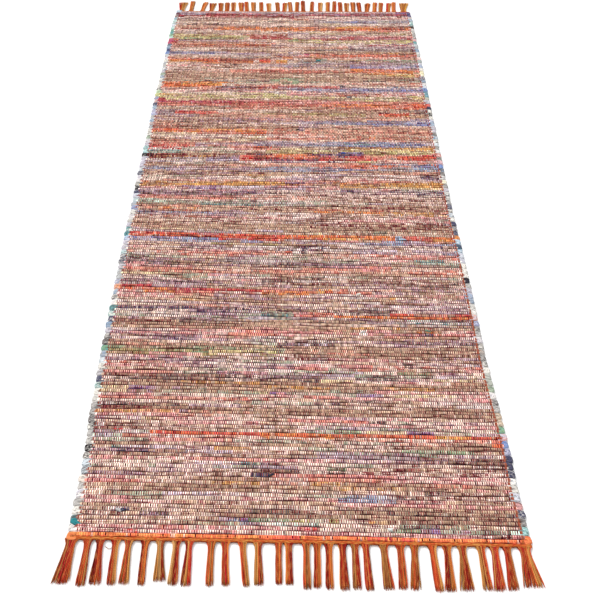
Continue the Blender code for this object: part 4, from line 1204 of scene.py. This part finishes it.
# %% The loops' colours, near to far
LEFT = """
-985 orange*flame; -975 lavender; -960 ash; -948 teal; -930 white; -920 grey; -900 white; -880 ash;
-865 shell; -840 ice; -815 white; -800 black; -780 white; -765 grey; -745 black; -720 grey*charcoal;
-690 black*grey; -670 white; -648 teal; -625 navy*grey; -615 lavender; -600 white; -585 ice; -570 grey;
-548 teal*green; -530 grey; -515 ash; -500 lavender; -480 steel*grey; -455 navy; -440 teal; -410 white;
-385 ash; -365 orange; -355 flame; -340 steel; -320 ice*grey; -300 grey; -280 navy*grey; -260 navy; -240 aqua;
-220 lavender*white; -190 sky; -175 teal*navy; -165 teal; -140 grey; -120 white; -100 navy*white;
-85 periwinkle; -70 steel; -45 aqua; -30 ice; -10 navy; 0 black; 20 black; 45 lavender*white; 65 grey*navy;
90 ice; 110 lavender; 130 grey*lavender; 145 black; 165 aqua; 180 mint; 195 grey; 210 white; 235 sage*grey;
250 white; 265 white; 280 steel*grey; 300 grey*red; 320 ice; 340 ice; 360 lavender*blue; 385 ice; 405 navy;
425 rose; 450 lime; 465 lime*mint; 490 white; 530 white; 545 ash; 560 sage*grey; 580 lavender*grey; 600 white;
620 grey; 640 grey; 660 white; 680 ice; 700 steel*blue; 720 navy*blue; 745 steel; 765 magenta*crimson;
800 mint*white; 820 green*mint; 840 teal*green; 860 aqua*white; 880 ice; 900 grey*aqua; 920 aqua; 940 white;
950 maroon; 965 navy*maroon; 990 steel*ice
"""
RIGHT = """
-985 flame*orange; -968 aqua*teal; -950 grey; -935 navy; -915 rose; -900 ice*lavender; -875 white;
-855 navy*grey; -845 white*grey; -825 navy*charcoal; -800 periwinkle; -785 blue*steel; -772 flame;
-750 teal*green; -730 grey*tan; -700 grey*charcoal; -665 white; -635 sage*grey; -620 sage*grey;
-600 white*grey; -580 white*black; -565 charcoal*grey; -545 grey*brown; -520 white; -500 lavender*grey;
-480 grey; -460 periwinkle*ice; -440 orange; -425 lavender*white; -410 white; -390 steel*grey; -370 lavender;
-350 grey; -335 black*navy; -320 white; -290 white*grey; -250 ice; -235 sky; -220 ice*sky; -205 navy*teal;
-190 sky*ice; -175 orange; -150 navy*grey; -130 navy*charcoal; -110 white; -80 white; -50 navy*grey; -20 ash;
0 navy*white; 20 grey; 40 white*yellow; 65 navy*ash; 80 grey; 95 steel*charcoal; 115 blue*sky; 130 rose;
150 white; 165 red; 190 white; 205 charcoal; 225 ice; 240 white; 270 charcoal*grey; 300 grey; 320 ice;
340 lavender*steel; 360 white; 380 black; 400 black*navy; 420 red; 440 lavender; 460 lime; 480 steel*teal;
500 blue*sky; 520 ice; 540 white; 560 grey; 580 lavender; 600 yellow*white; 620 shell*white; 640 steel;
650 ice; 670 teal*grey; 700 rose*white; 715 grey; 730 white; 755 steel*grey; 780 white; 800 teal*aqua;
820 lavender*rose; 840 ash; 870 grey; 890 ash; 905 brown*black; 920 teal*grey; 940 aqua; 960 white;
975 maroon; 990 navy*purple
"""

# Where a loop was read, the rows run on at a slant: y in mm, and their rise across in mm per metre.
SLANT = np.array(((-1000, -18), (-500, -18), (0, -5), (150, 19), (500, 16), (870, 38), (1000, 50))) * MM
LIST_X = 0.35               # how far from the middle line the loops were read


def items_of(text):
    """The items of a list that is parted by semicolons, each as its words."""
    return [item.split() for item in text.replace("\n", " ").split(";")]


def read_loops(text, x):
    """Each loop's row, as its y on the middle line, with its colours."""
    found = []
    for y, colours in items_of(text):
        y_here = int(y) * MM
        on_middle = y_here - np.interp(y_here, SLANT[:, 0], SLANT[:, 1]) * x
        found.append((on_middle, *two_colours(colours)))
    return found


# %% Make the turned rag material
def loop_material(name):
    """Creased cotton: folds run round the turn, with painted shade along them and in the creases, and a soft
    print.
    """
    made, tree, shader = begin(name, 0.94)
    round_it, along_it = weave_places(tree)
    flecks = streaks(tree, (round_it, 2.0), (along_it, 3.0), 0.0, 3.0, 0.6)
    colour = print_over(tree, flecks, stored(tree, "rag"), stored(tree, "print"), 0.08)
    folds = streaks(tree, (round_it, 5.0), (along_it, 0.9), 0.0, 3.0, 0.6)
    # painted shade: lighter and darker along the folds, darkest in the creases
    tone = plus(tree, 0.54, times(tree, folds, 0.90))
    crease = span(tree, folds, 0.36, 0.46, 0.45, 1.0)
    colour = shaded(tree, colour, grey(tree, times(tree, tone, crease)))
    surface(tree, shader, colour, folds, 1.0, 1.6 * MM)
    return made


loop_skin = loop_material("turned_rag_cotton")

# %% Turn the rags
WORN = np.array((0.97, 0.99, 1.0))
FLECK_COLOURS = ("charcoal", "steel", "grey", "lavender")
LOOP_FOOT, LOOP_LOWEST = 0.4 * MM, 0.1 * MM
LOOPS_ACROSS = 8            # loops side by side in the bake layout


def turn_rags(name, sign, text, seed):
    """All the loops of one side. sign is -1 at the left and 1 at the right."""
    chance = np.random.default_rng(seed)
    colours = read_loops(text, sign * LIST_X)
    points, faces = LOOP
    rows = np.arange(0, PICKS + 1, 2) if sign < 0 else np.arange(1, PICKS, 2)
    count = len(rows)
    along = START + rows * PITCH
    swell = 0.5 * MM * np.sin(rows * 1.9) + chance.uniform(-1.1, 0.5, count) * MM
    side = np.abs(side_x(sign, along)) + swell
    wide = chance.uniform(1.0, 1.16, count)
    tall = chance.uniform(3.6, 4.7, count) * MM
    lean = chance.uniform(-0.12, 0.12, count)
    reach = chance.uniform(0.95, 1.1, count)
    px, py, pz = points.T
    squash = 1.0 + 0.10 * np.sin(rows[:, None] * 2.3 + py * 4.0)
    out = side[:, None] + px * PITCH * reach[:, None]
    x = sign * (out + 0.5 * MM * np.sin(9.0 * py + rows[:, None]))
    y = row_y(x, along[:, None]) + (py * wide[:, None] + lean[:, None] * px) * PITCH
    z = LOOP_FOOT + (pz + 0.56) * tall[:, None] * squash
    shape = (points, faces if sign > 0 else [f[::-1] for f in faces])
    mesh = many(name, shape, x, y, np.maximum(z, LOOP_LOWEST))
    first, second = np.zeros((count, 3)), np.zeros((count, 4))
    for loop, y_here in enumerate(along):
        _, main, other = min(colours, key=lambda c: abs(c[0] - y_here))
        first[loop] = washed(main) * WORN * chance.uniform(0.90, 1.08)
        if not other:
            other = "white" if first[loop].mean() < 0.3 else chance.choice(FLECK_COLOURS)
        second[loop] = (*(washed(other) * WORN), chance.uniform(0.3, 0.9))
    paint(mesh, "rag", first)
    paint(mesh, "print", second)
    corners = face_corners(shape[1])
    number = np.arange(count)[:, None]
    angle = np.arctan2(pz, np.hypot(px - px.mean(), py) - 0.5) / math.pi
    lay_uv(mesh, "Weave", angle[corners] + number * 3.1, py[corners] * 2 + px[corners] + number * 5.3)
    down = math.ceil(count / LOOPS_ACROSS)
    u = number % LOOPS_ACROSS + 0.04 + 0.92 * (px[corners] - px.min()) / np.ptp(px)
    v = number // LOOPS_ACROSS + 0.04 + 0.92 * (py[corners] - py.min()) / np.ptp(py)
    # the lower half of every loop has its room in the left half of the layout
    u = 0.5 * u + np.where(pz[corners] < -0.05, 0.0, LOOPS_ACROSS * 0.5)
    lay_uv(mesh, "OFBake", u / LOOPS_ACROSS, v / down)
    return show(mesh, loop_skin)


left_loops = turn_rags("turned_rags_left", -1, LEFT, 41)
right_loops = turn_rags("turned_rags_right", 1, RIGHT, 43)

# %% [markdown]
# ## Rag ends that stand out
#
# Where one rag ends and the next begins, the weaver lays the two ends over each other. Some of them work
# loose and show as small tufts on the cloth, and a teal one sticks out at the near left corner. A tuft is a
# short folded strip: a cone drawn out in steps, pressed flat and creased. The list gives each tuft's x, y,
# length, width (all in mm), the way it points (in degrees) and its colour.

# %% Leave the rag ends
RAG_ENDS = """
-346 -950 19 11 -30 teal; -270 -931 11 7 176 navy*ash; -274 -930 10 6 -10 grey*navy;
-45 -858 11 5 10 navy*charcoal; 148 -969 9 7 175 aqua*white; 122 -497 11 5 5 white*ash;
244 -491 12 5 -12 navy*sage; 130 -380 10 5 180 white; -17 -239 10 5 15 coral; 220 -190 16 5 -8 sky*ice;
-113 136 9 6 170 red*crimson; -105 138 9 6 12 red; 112 166 11 5 0 blue; 15 278 9 5 185 black;
137 450 11 6 8 teal*grey; -36 470 10 5 176 white; 122 512 10 5 5 black*charcoal; 75 665 11 6 184 teal
"""
ON_CLOTH, ON_SIDE = 5.6 * MM, 4.2 * MM      # heights of a tuft's middle
CLOTH_HALF = 340 * MM
TUFT_TALL = 2.4 * MM


def drawn_cone(segments, base, tip, depth, steps):
    """A cone or a tube along z, with rings of points on its way."""
    bm = bmesh.new()
    bmesh.ops.create_cone(bm, cap_ends=True, segments=segments, radius1=base, radius2=tip, depth=depth)
    sides = [e for e in bm.edges if abs(e.verts[0].co.z - e.verts[1].co.z) > depth / 2]
    bmesh.ops.subdivide_edges(bm, edges=sides, cuts=steps - 1, use_grid_fill=True)
    return shape_of(bm)


def tuft_shape():
    """A tuft: its root at x = 0, its tip at x = 1, half a unit wide each way, z from -0.5 to 0.5."""
    points, faces = drawn_cone(10, 0.5, 0.30, 1.0, 7)
    share = points[:, 2] + 0.5
    turn = np.arctan2(points[:, 1], points[:, 0])
    crease = 1.0 + 0.16 * np.cos(5 * turn + 2.0 * share)
    full = np.sqrt(np.clip(np.minimum(share * 6, (1.12 - share) * 2.2), 0.04, 1))
    points = np.stack([share, points[:, 0] * crease * full * 1.2, points[:, 1] * crease * full], 1)
    return points, [face[::-1] for face in faces]


def leave_rag_ends(seed):
    chance = np.random.default_rng(seed)
    points, faces = tuft_shape()
    px, py, pz = points.T
    placed, first, second = [], [], []
    for *words, colours in items_of(RAG_ENDS):
        x, y, length, width, way = (float(w) for w in words)
        main, other = two_colours(colours)
        turn = math.radians(way)
        along = px * length * MM
        beside = py * width * MM + 0.9 * MM * np.sin(px * 5.0 + way)
        high = (ON_CLOTH if abs(x * MM) < CLOTH_HALF else ON_SIDE) + pz * TUFT_TALL
        placed.append((
            x * MM + along * math.cos(turn) - beside * math.sin(turn),
            y * MM + along * math.sin(turn) + beside * math.cos(turn),
            high + 0.5 * MM * np.sin(px * 3.1),
        ))
        first.append(linear(RAG_COLOURS[main]) * chance.uniform(0.9, 1.05))
        second.append([*linear(RAG_COLOURS[other or main]) * 0.9, 0.9 if other else 0.2])
    mesh = many("rag_ends", (points, faces), *np.array(placed).transpose(1, 0, 2))
    paint(mesh, "rag", np.array(first))
    paint(mesh, "print", np.array(second))
    corners = face_corners(faces)
    count = len(placed)
    number = np.arange(count)[:, None]
    turn = np.arctan2(pz, py)[corners] / math.pi
    lay_uv(mesh, "Weave", turn + number * 4.7, px[corners] * 3 + number * 4.7)
    u = 0.5 * (np.where(pz[corners] > 0, 0.04, 1.04) + 0.92 * (py[corners] + 0.75) / 1.5)
    lay_uv(mesh, "OFBake", u, (number + 0.05 + 0.9 * px[corners]) / count)
    return show(mesh, loop_skin)


rag_ends = leave_rag_ends(45)

# %% [markdown]
# ## The yarn headings
#
# Past the last rag row the warp yarns are knotted together in bunches. The knots make a narrow yarn band,
# drawn back in an arch between two tassels. The band is a rounded strip: a ring of points drawn out along
# the end of the cloth, its outer side pulled in wherever there is no tassel.

# %% Tassel places
# x at the root, x at the tip, width at the tip, and y reached by the tip, in mm, then the yarns' colours
NEAR_TASSELS = """
-339.0 -344.5 24.0 -1068 ochre crimson brick brown; -314.5 -314.5 13.0 -1072 brick rust ochre;
-296.0 -294.0 18.0 -1070 dark rust brick; -272.5 -270.5 13.5 -1070 dark rust ochre;
-252.5 -252.0 16.0 -1069 rust brick ochre; -227.5 -227.0 10.5 -1070 dark rust orange;
-205.0 -200.5 17.5 -1064 ochre tan brown; -181.0 -181.5 14.5 -1070 tan ochre dark rust;
-161.5 -162.0 15.0 -1072 dark ochre red; -128.5 -127.5 10.5 -1072 rust dark orange;
-107.5 -104.0 12.0 -1071 brick ochre orange; -82.0 -73.5 10.0 -1072 orange rust ochre;
-58.0 -55.5 14.5 -1070 ochre rust dark; -27.0 -26.5 10.0 -1069 rust orange crimson;
-12.0 -10.5 11.0 -1070 orange rust dark; 14.5 15.0 12.0 -1077 rust brown dark;
31.0 30.0 10.5 -1075 dark rust orange; 48.5 48.0 11.0 -1077 dark rust orange;
69.0 69.5 13.5 -1079 ochre rust dark; 87.5 87.5 13.0 -1077 brown ochre red;
104.0 106.0 13.5 -1079 brick orange ochre; 131.0 133.5 16.0 -1078 ochre brown rust;
156.5 154.5 13.5 -1077 brick orange rust; 178.0 172.0 15.0 -1078 orange rust brown dark;
204.5 207.0 13.0 -1081 red rust ochre; 227.0 224.0 15.0 -1081 dark brown orange;
249.5 247.5 21.0 -1080 ochre brick dark; 277.5 278.0 14.0 -1079 ochre orange rust;
298.0 295.5 17.0 -1080 crimson orange rust; 317.5 315.5 16.0 -1079 brick dark rust brown;
343.5 346.0 30.0 -1074 brick orange rust ochre
"""
FAR_TASSELS = """
-329.0 -328.0 24.0 1067 red orange ochre tan; -302.0 -300.0 13.0 1077 orange red ochre;
-269.0 -261.0 13.5 1069 ochre orange tan; -242.0 -239.0 20.0 1064 red orange ochre;
-214.0 -216.0 14.0 1066 ochre orange tan; -195.5 -196.5 12.5 1068 orange ochre rust;
-176.5 -178.0 12.5 1070 ochre orange tan; -152.0 -156.0 14.5 1070 orange ochre red;
-135.5 -140.0 10.5 1076 orange red ochre; -116.0 -118.5 13.0 1073 ochre orange tan;
-93.0 -95.5 11.5 1074 ochre red orange; -70.5 -72.0 13.5 1067 orange ochre tan;
-43.5 -46.5 11.0 1073 ochre orange rust; -25.5 -22.0 12.0 1071 red orange ochre;
-5.5 -8.5 11.0 1077 orange ochre tan; 12.0 14.0 10.5 1078 ochre rust orange;
31.5 31.0 10.0 1088 rust dark rust; 56.0 60.0 9.5 1082 ochre orange rust;
81.5 84.5 13.0 1075 orange ochre tan; 104.5 107.0 10.5 1079 ochre orange rust;
123.0 127.5 9.5 1086 orange dark rust; 142.5 143.5 10.5 1080 red orange rust;
161.0 163.5 14.0 1074 ochre orange tan; 181.0 183.0 12.5 1081 orange ochre rust;
200.0 199.5 11.5 1079 dark rust dark; 220.5 227.5 15.5 1074 ochre orange red;
243.5 250.5 10.5 1080 orange ochre rust; 262.0 268.0 12.0 1079 ochre orange rust;
284.0 291.5 12.5 1077 red orange ochre; 301.5 307.5 10.5 1084 orange ochre rust;
330.0 337.5 24.0 1079 ochre gold orange gold
"""


def read_tassels(text):
    """Each tassel: root x, tip x, tip width, y reached, in metres, and its colours from left to right."""
    return [(*(float(w) * MM for w in words[:4]), words[4:]) for words in items_of(text)]


NEAR = read_tassels(NEAR_TASSELS)
FAR = read_tassels(FAR_TASSELS)
print(len(NEAR), "near tassels,", len(FAR), "far tassels")

# %% Make the heading material
def heading_material(name):
    """Yarn wound and knotted across the end: thick slanting strands, ochre over orange and rust."""
    made, tree, shader = begin(name, 0.92)
    across, along = weave_places(tree)
    strand = streaks(tree, (across, 0.35), (along, 5.0), 0.0, 3.0, 0.6)
    bunch = noise(tree, place(tree, times(tree, across, 0.06), 0.0), 1.0)
    mixed = plus(tree, times(tree, strand, 0.7), times(tree, bunch, 0.3))
    ramp = add(tree, "ShaderNodeValToRGB", ((0, mixed),))
    steps = ramp.color_ramp.elements
    steps[0].position, steps[0].color = 0.34, dye("brick")
    steps[1].position, steps[1].color = 0.68, dye("gold")
    for at, colour in ((0.43, "rust"), (0.50, "orange"), (0.58, "ochre")):
        steps.new(at).color = dye(colour)
    # painted shade in the grooves between the slanting strands
    slant = plus(tree, times(tree, along, 3.0), times(tree, across, 0.10))
    groove = maths(tree, "PINGPONG", slant, 0.5)
    light = span(tree, groove, 0.0, 0.35, 0.62, 1.02)
    # its outer edge curls under into shade
    curl = span(tree, maths(tree, "ABSOLUTE", along), 0.02, 0.24, 0.30, 1.0)
    colour = shaded(tree, ramp.outputs[0], warm_shade(tree, times(tree, light, curl)))
    surface(tree, shader, colour, plus(tree, groove, times(tree, strand, 0.6)), 0.7, 0.8 * MM)
    return made


heading_skin = heading_material("knotted_heading_yarn")

# %% Make the headings
SCALLOP = 2.6 * MM
BAND_STEPS = 300
BAND_RING = 10
BAND_MIDDLE, BAND_HALF = 2.3 * MM, 2.1 * MM      # height of the band's middle, and half its thickness
BAND_PAST, BAND_IN = 0.6 * MM, 0.8 * MM          # how far it passes the end line, and stays in from the sides
PAST_ROOT = 12 * MM


def drawn_back(x, tassels):
    """0 at a tassel's root and 1 in the middle between two: how far the band arches back."""
    roots = np.array([t[0] for t in tassels])
    middles = (roots[1:] + roots[:-1]) / 2
    places = np.concatenate([roots, middles, [roots[0] - PAST_ROOT, roots[-1] + PAST_ROOT]])
    values = np.concatenate([np.zeros(len(roots)), np.ones(len(middles)), [0.5, 0.5]])
    order = np.argsort(places)
    return np.sqrt(np.clip(np.interp(x, places[order], values[order]), 0, 1))


def make_heading(name, end, tassels):
    """The band at one end of the cloth. end is -1 at the near one and 1 at the far one."""
    points, faces = drawn_cone(BAND_RING, 1.0, 1.0, 2.0, BAND_STEPS)
    out, up, share = points[:, 0], points[:, 1], (points[:, 2] + 1) / 2
    line = NEAR_LINE if end < 0 else FAR_LINE
    left, right = side_x(-1, line) + BAND_IN, side_x(1, line) - BAND_IN
    x = left + (right - left) * share
    outer = line + end * (BAND_PAST - SCALLOP * drawn_back(x, tassels))
    inner = line - end * (HEADING + BAND_IN)
    y = (outer + inner) / 2 + end * out * np.abs(outer - inner) / 2 + row_y(x, line) - line
    taper = np.clip(np.minimum(share, 1 - share) / 0.006, 0.35, 1)
    z = BAND_MIDDLE + up * BAND_HALF * taper + 0.12 * MM * np.sin(x * 900.0)
    mesh = many(name, (points, faces), x[None], y[None], z[None])
    at = corner_points(mesh)
    turn = np.arctan2(up, out)[at] / math.pi
    lay_uv(mesh, "Weave", x[at] / (1.9 * MM), turn)
    lay_uv(mesh, "OFBake", share[at] * 0.996 + 0.002, (turn + 1) / 2 * 0.98 + 0.01)
    turn_outward(mesh)
    return show(mesh, heading_skin)


near_heading = make_heading("heading_near", -1, NEAR)
far_heading = make_heading("heading_far", 1, FAR)

# %% [markdown]
# ## The tassels
#
# A tassel is the bunch of warp yarns past its knot: 14 plied yarns at the near end, 17 at the far end and
# 22 in a corner, side by side in two layers. They leave the heading wide, draw together a centimetre
# further out, and fan a little to their cut ends. One yarn is a thin tube of ten rings, drawn out from a
# cone; it is then bent along each yarn's own path. The colours in the lists say how the yarns run from
# the left of a tassel to its right.

# %% Twist one yarn
YARN_SIDES = 6
YARN_STEPS = 9


def strand_shape():
    """A tube of radius 1 with rounded ends. z is its length, 0 to 1."""
    points, faces = drawn_cone(YARN_SIDES, 0.8, 0.35, 2.0, YARN_STEPS)
    points[:, 2] = (points[:, 2] + 1) / 2
    inner = (points[:, 2] > 0.01) & (points[:, 2] < 0.99)
    points[inner, :2] /= np.hypot(points[:, 0], points[:, 1])[inner, None]
    return points, faces


STRAND = strand_shape()
print("one yarn:", len(STRAND[0]), "points")

# %% Lead the yarns
STRAY_YARNS = ("ochre", "rust", "dark", "crimson", "brown")
STRAY_SHARE = 0.30
CORNER_YARNS, NEAR_YARNS, FAR_YARNS = 22, 14, 17
CORNER_NECK, NEAR_NECK, FAR_NECK = 15.0 * MM, 9.6 * MM, 12.5 * MM
CORNER_ROOT, ROOT = 22.0 * MM, 17.0 * MM
NECK_AT = 0.15              # share of a yarn's length


def tassel_paths(tassels, end, seed):
    """Each yarn: root x, neck x, tip x, root y, tip y, layer, radius, own random number, colour name."""
    chance = random.Random(seed)
    line = NEAR_LINE if end < 0 else FAR_LINE
    yarns = []
    for number, (root, tip, spread, reach, colours) in enumerate(tassels):
        corner = number in (0, len(tassels) - 1)
        count = CORNER_YARNS if corner else NEAR_YARNS if end < 0 else FAR_YARNS
        neck_width = CORNER_NECK if corner else NEAR_NECK if end < 0 else FAR_NECK
        beside = [t[0] for t in tassels[max(number - 1, 0):number + 2] if t[0] != root]
        root_width = min(min(abs(x - root) for x in beside) * 0.9, CORNER_ROOT if corner else ROOT)
        for strand in range(count):
            share = ((strand + 0.5) / count - 0.5) * 2 + chance.uniform(-0.05, 0.05)
            colour_at = int((share + 1) / 2 * len(colours) + chance.uniform(-0.35, 0.35))
            shade = colours[min(colour_at, len(colours) - 1)]
            if chance.random() < STRAY_SHARE:
                shade = chance.choice(STRAY_YARNS)
            root_x = root + share * root_width / 2
            neck_x = root + (tip - root) * NECK_AT + share * neck_width / 2 * 0.86
            wide = spread * (0.62 if end > 0 else 0.56) - 0.6 * MM
            tip_x = tip + share * wide + chance.uniform(-0.5, 0.5) * MM
            tip_y = reach + end * (chance.uniform(-2.6, 0.6) - 1.2 * share * share) * MM
            root_y = float(row_y(root_x, line)) - end * (2.6 * MM + 1.6 * MM * abs(share))
            radius, own = chance.uniform(0.88, 1.08) * MM, chance.random()
            yarns.append((root_x, neck_x, tip_x, root_y, tip_y, strand % 2, radius, own, shade))
    return yarns


# %% Knot the fringe
LOW_LAYER, HIGH_LAYER, SETTLE = 1.10 * MM, 3.05 * MM, 0.85 * MM
YARN_LOWEST = 0.05 * MM
YARNS_ACROSS = 16           # yarns side by side in the bake layout


def knot_fringe(name, tassels, end, seed):
    """All the yarns of one end. The upper layer sinks towards its tips."""
    *numbers, shades = zip(*tassel_paths(tassels, end, seed))
    root_x, neck_x, tip_x, root_y, tip_y, layer, radius, own = (np.array(n)[:, None] for n in numbers)
    points, faces = STRAND
    px, py, s = points.T
    to_neck = np.clip(s / NECK_AT, 0, 1)
    past_neck = np.clip((s - NECK_AT) / (1 - NECK_AT), 0, 1)
    ease_in = to_neck * to_neck * (3 - 2 * to_neck)
    centre_x = root_x + (neck_x - root_x) * ease_in + (tip_x - neck_x) * past_neck**1.15
    centre_x = centre_x + 0.55 * MM * np.sin(s * 7.0 + own * 20.0) * past_neck * (1 - 0.3 * past_neck)
    upper = layer == 1
    centre_z = np.where(upper, HIGH_LAYER, LOW_LAYER) - np.where(upper, SETTLE, 0.0) * past_neck**1.3
    centre_z = centre_z + 0.18 * MM * np.sin(s * 9.0 + own * 31.0)
    fat = radius * (1 + 0.10 * np.sin(s * 15 + own * 9))
    x = centre_x + px * fat
    z = np.maximum(centre_z + py * fat, YARN_LOWEST)
    mesh = many(name, STRAND, x, root_y + (tip_y - root_y) * s, z)
    dyes = np.array([linear(YARN_COLOURS[shade]) for shade in shades])
    paint(mesh, "yarn", dyes * (0.54 + 0.78 * own))
    # round the yarn from 0 to 1, and on past 1 where a face closes the ring
    corners = face_corners(faces)
    turn = (np.arctan2(py, px)[corners] / math.pi + 1) / 2
    face_of = np.repeat(np.arange(len(faces)), [len(f) for f in faces])
    highest = np.zeros(len(faces))
    np.maximum.at(highest, face_of, turn)
    turn = np.where((highest[face_of] > 0.75) & (turn < 0.25), turn + 1.0, turn)
    along = s[corners]
    number = np.arange(len(shades))[:, None]
    rows_down = math.ceil(len(shades) / YARNS_ACROSS)
    u = (number % YARNS_ACROSS + 0.06 + 0.74 * turn) / YARNS_ACROSS
    lay_uv(mesh, "OFBake", u, (number // YARNS_ACROSS + 0.05 + 0.9 * along) / rows_down)
    lay_uv(mesh, "Weave", turn * 2 + number * 2.0, along * 12.0 + number * 13.0)
    turn_outward(mesh)
    return show(mesh, fringe_skin)


fringe_skin = yarn_material("plied_fringe_yarn", 1.6, 1.0, 0.6 * MM, 0.55)
near_fringe = knot_fringe("fringe_near_yarns", NEAR, -1, 71)
far_fringe = knot_fringe("fringe_far_yarns", FAR, 1, 72)
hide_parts("fringe_near")
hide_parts("fringe_far")

# %% [markdown]
# ## A loose thread
#
# Between the third and fourth near tassels one thin thread has come out of the heading and hangs in a bow.
# It is the same tube as a fringe yarn, thinner and bent.

# %% Bend the loose thread
THREAD_X, THREAD_Y = -280.0 * MM, -998.0 * MM
THREAD_HALF = 7.5 * MM      # half the distance between its ends
THREAD_RISE, THREAD_BOW = 4.0 * MM, 7.0 * MM
THREAD_Z, THREAD_THIN = 0.9 * MM, 0.42 * MM


def hang_thread():
    px, py, share = STRAND[0].T
    across = THREAD_X + THREAD_HALF * (2 * share - 1)
    reach = THREAD_Y + THREAD_RISE * share - THREAD_BOW * np.sin(math.pi * share)
    slope = np.arctan2(THREAD_RISE - THREAD_BOW * math.pi * np.cos(math.pi * share), 2 * THREAD_HALF)
    x = across - px * THREAD_THIN * np.sin(slope)
    y = reach + px * THREAD_THIN * np.cos(slope)
    mesh = many("loose_thread", STRAND, x[None], y[None], (THREAD_Z + py * THREAD_THIN)[None])
    at = corner_points(mesh)
    paint(mesh, "yarn", linear(YARN_COLOURS["brown"])[None] * 0.8)
    lay_uv(mesh, "Weave", px[at], share[at] * 9.0)
    side = np.where(py[at] > 0, 0.02, 0.52)
    lay_uv(mesh, "OFBake", side + 0.23 * (px[at] + 1), 0.02 + 0.96 * share[at])
    return show(mesh, fringe_skin)


loose_thread = hang_thread()

# %% [markdown]
# ## The floor
#
# The rag cloth, one sheet, lies flat on a floor: a square 14 m across, just below it. The yarns,
# turned rags, headings and fringes go with the cloth.

floor_mesh = bpy.data.meshes.new("studio_floor")
bm = bmesh.new()
bmesh.ops.create_grid(bm, x_segments=1, y_segments=1, size=14.0)
bm.to_mesh(floor_mesh)
bm.free()
floor = bpy.data.objects.new("studio_floor", floor_mesh)
bpy.context.scene.collection.objects.link(floor)
floor.location.z = -0.2 * MM

# %% [markdown]
# ## Floor, light and camera
#
# The photo is a catalogue picture on pure white: soft light from all round and above, hardly a shadow. A
# pale matt floor, a white surround and one large soft lamp give that. The camera stands at the near end,
# 1.3 m up, as found from the corners and rows of the rug in the photo.

# %% Set the floor and the light
floor_skin, tree, shader = begin("pale_studio_floor", 0.95)
soft = noise(tree, add(tree, "ShaderNodeTexCoord").outputs["Object"], 0.6)
tree.links.new(grey(tree, span(tree, soft, 0.0, 1.0, 0.97, 1.0)), shader.inputs["Base Color"])
shader.inputs["Specular IOR Level"].default_value = 0.0
floor_mesh.materials.append(floor_skin)

world = bpy.data.worlds.new("white_surround")
world.use_nodes = True
surround = world.node_tree.nodes["Background"]
surround.inputs[0].default_value = (1.0, 1.0, 1.0, 1.0)
surround.inputs[1].default_value = 0.86
bpy.context.scene.world = world

lamp_data = bpy.data.lights.new("soft_lamp", "SUN")
lamp_data.angle = math.radians(25.0)
lamp_data.energy = 2.2
lamp = bpy.data.objects.new("soft_lamp", lamp_data)
bpy.context.scene.collection.objects.link(lamp)
lamp.location = (-1.6, 2.4, 2.6)
lamp.rotation_mode = "QUATERNION"
lamp.rotation_quaternion = (-lamp.location).to_track_quat("-Z", "Y")

# %% Stand the camera
YAW, PITCH_DOWN, ROLL = (math.radians(a) for a in (1.12, 37.9, 1.04))
camera_data = bpy.data.cameras.new("camera")
camera_data.sensor_width = 36.0
camera_data.lens = 64.33
camera_data.clip_start, camera_data.clip_end = 0.05, 60.0
camera = bpy.data.objects.new("camera", camera_data)
bpy.context.scene.collection.objects.link(camera)
level = Vector((math.cos(YAW), -math.sin(YAW), 0.0))
ahead = Vector((math.sin(YAW), math.cos(YAW), 0.0))
forward = ahead * math.cos(PITCH_DOWN) - Vector((0.0, 0.0, math.sin(PITCH_DOWN)))
upright = level.cross(forward)
right = level * math.cos(ROLL) + upright * math.sin(ROLL)
above = upright * math.cos(ROLL) - level * math.sin(ROLL)
camera.location = (-0.022, -2.044, 1.286)
camera.rotation_mode = "QUATERNION"
camera.rotation_quaternion = Matrix((right, above, -forward)).transposed().to_quaternion()
bpy.context.scene.camera = camera
bpy.context.scene.view_settings.view_transform = "Standard"
print("camera", [round(v, 3) for v in camera.location], "lens", round(camera_data.lens, 2), "mm")
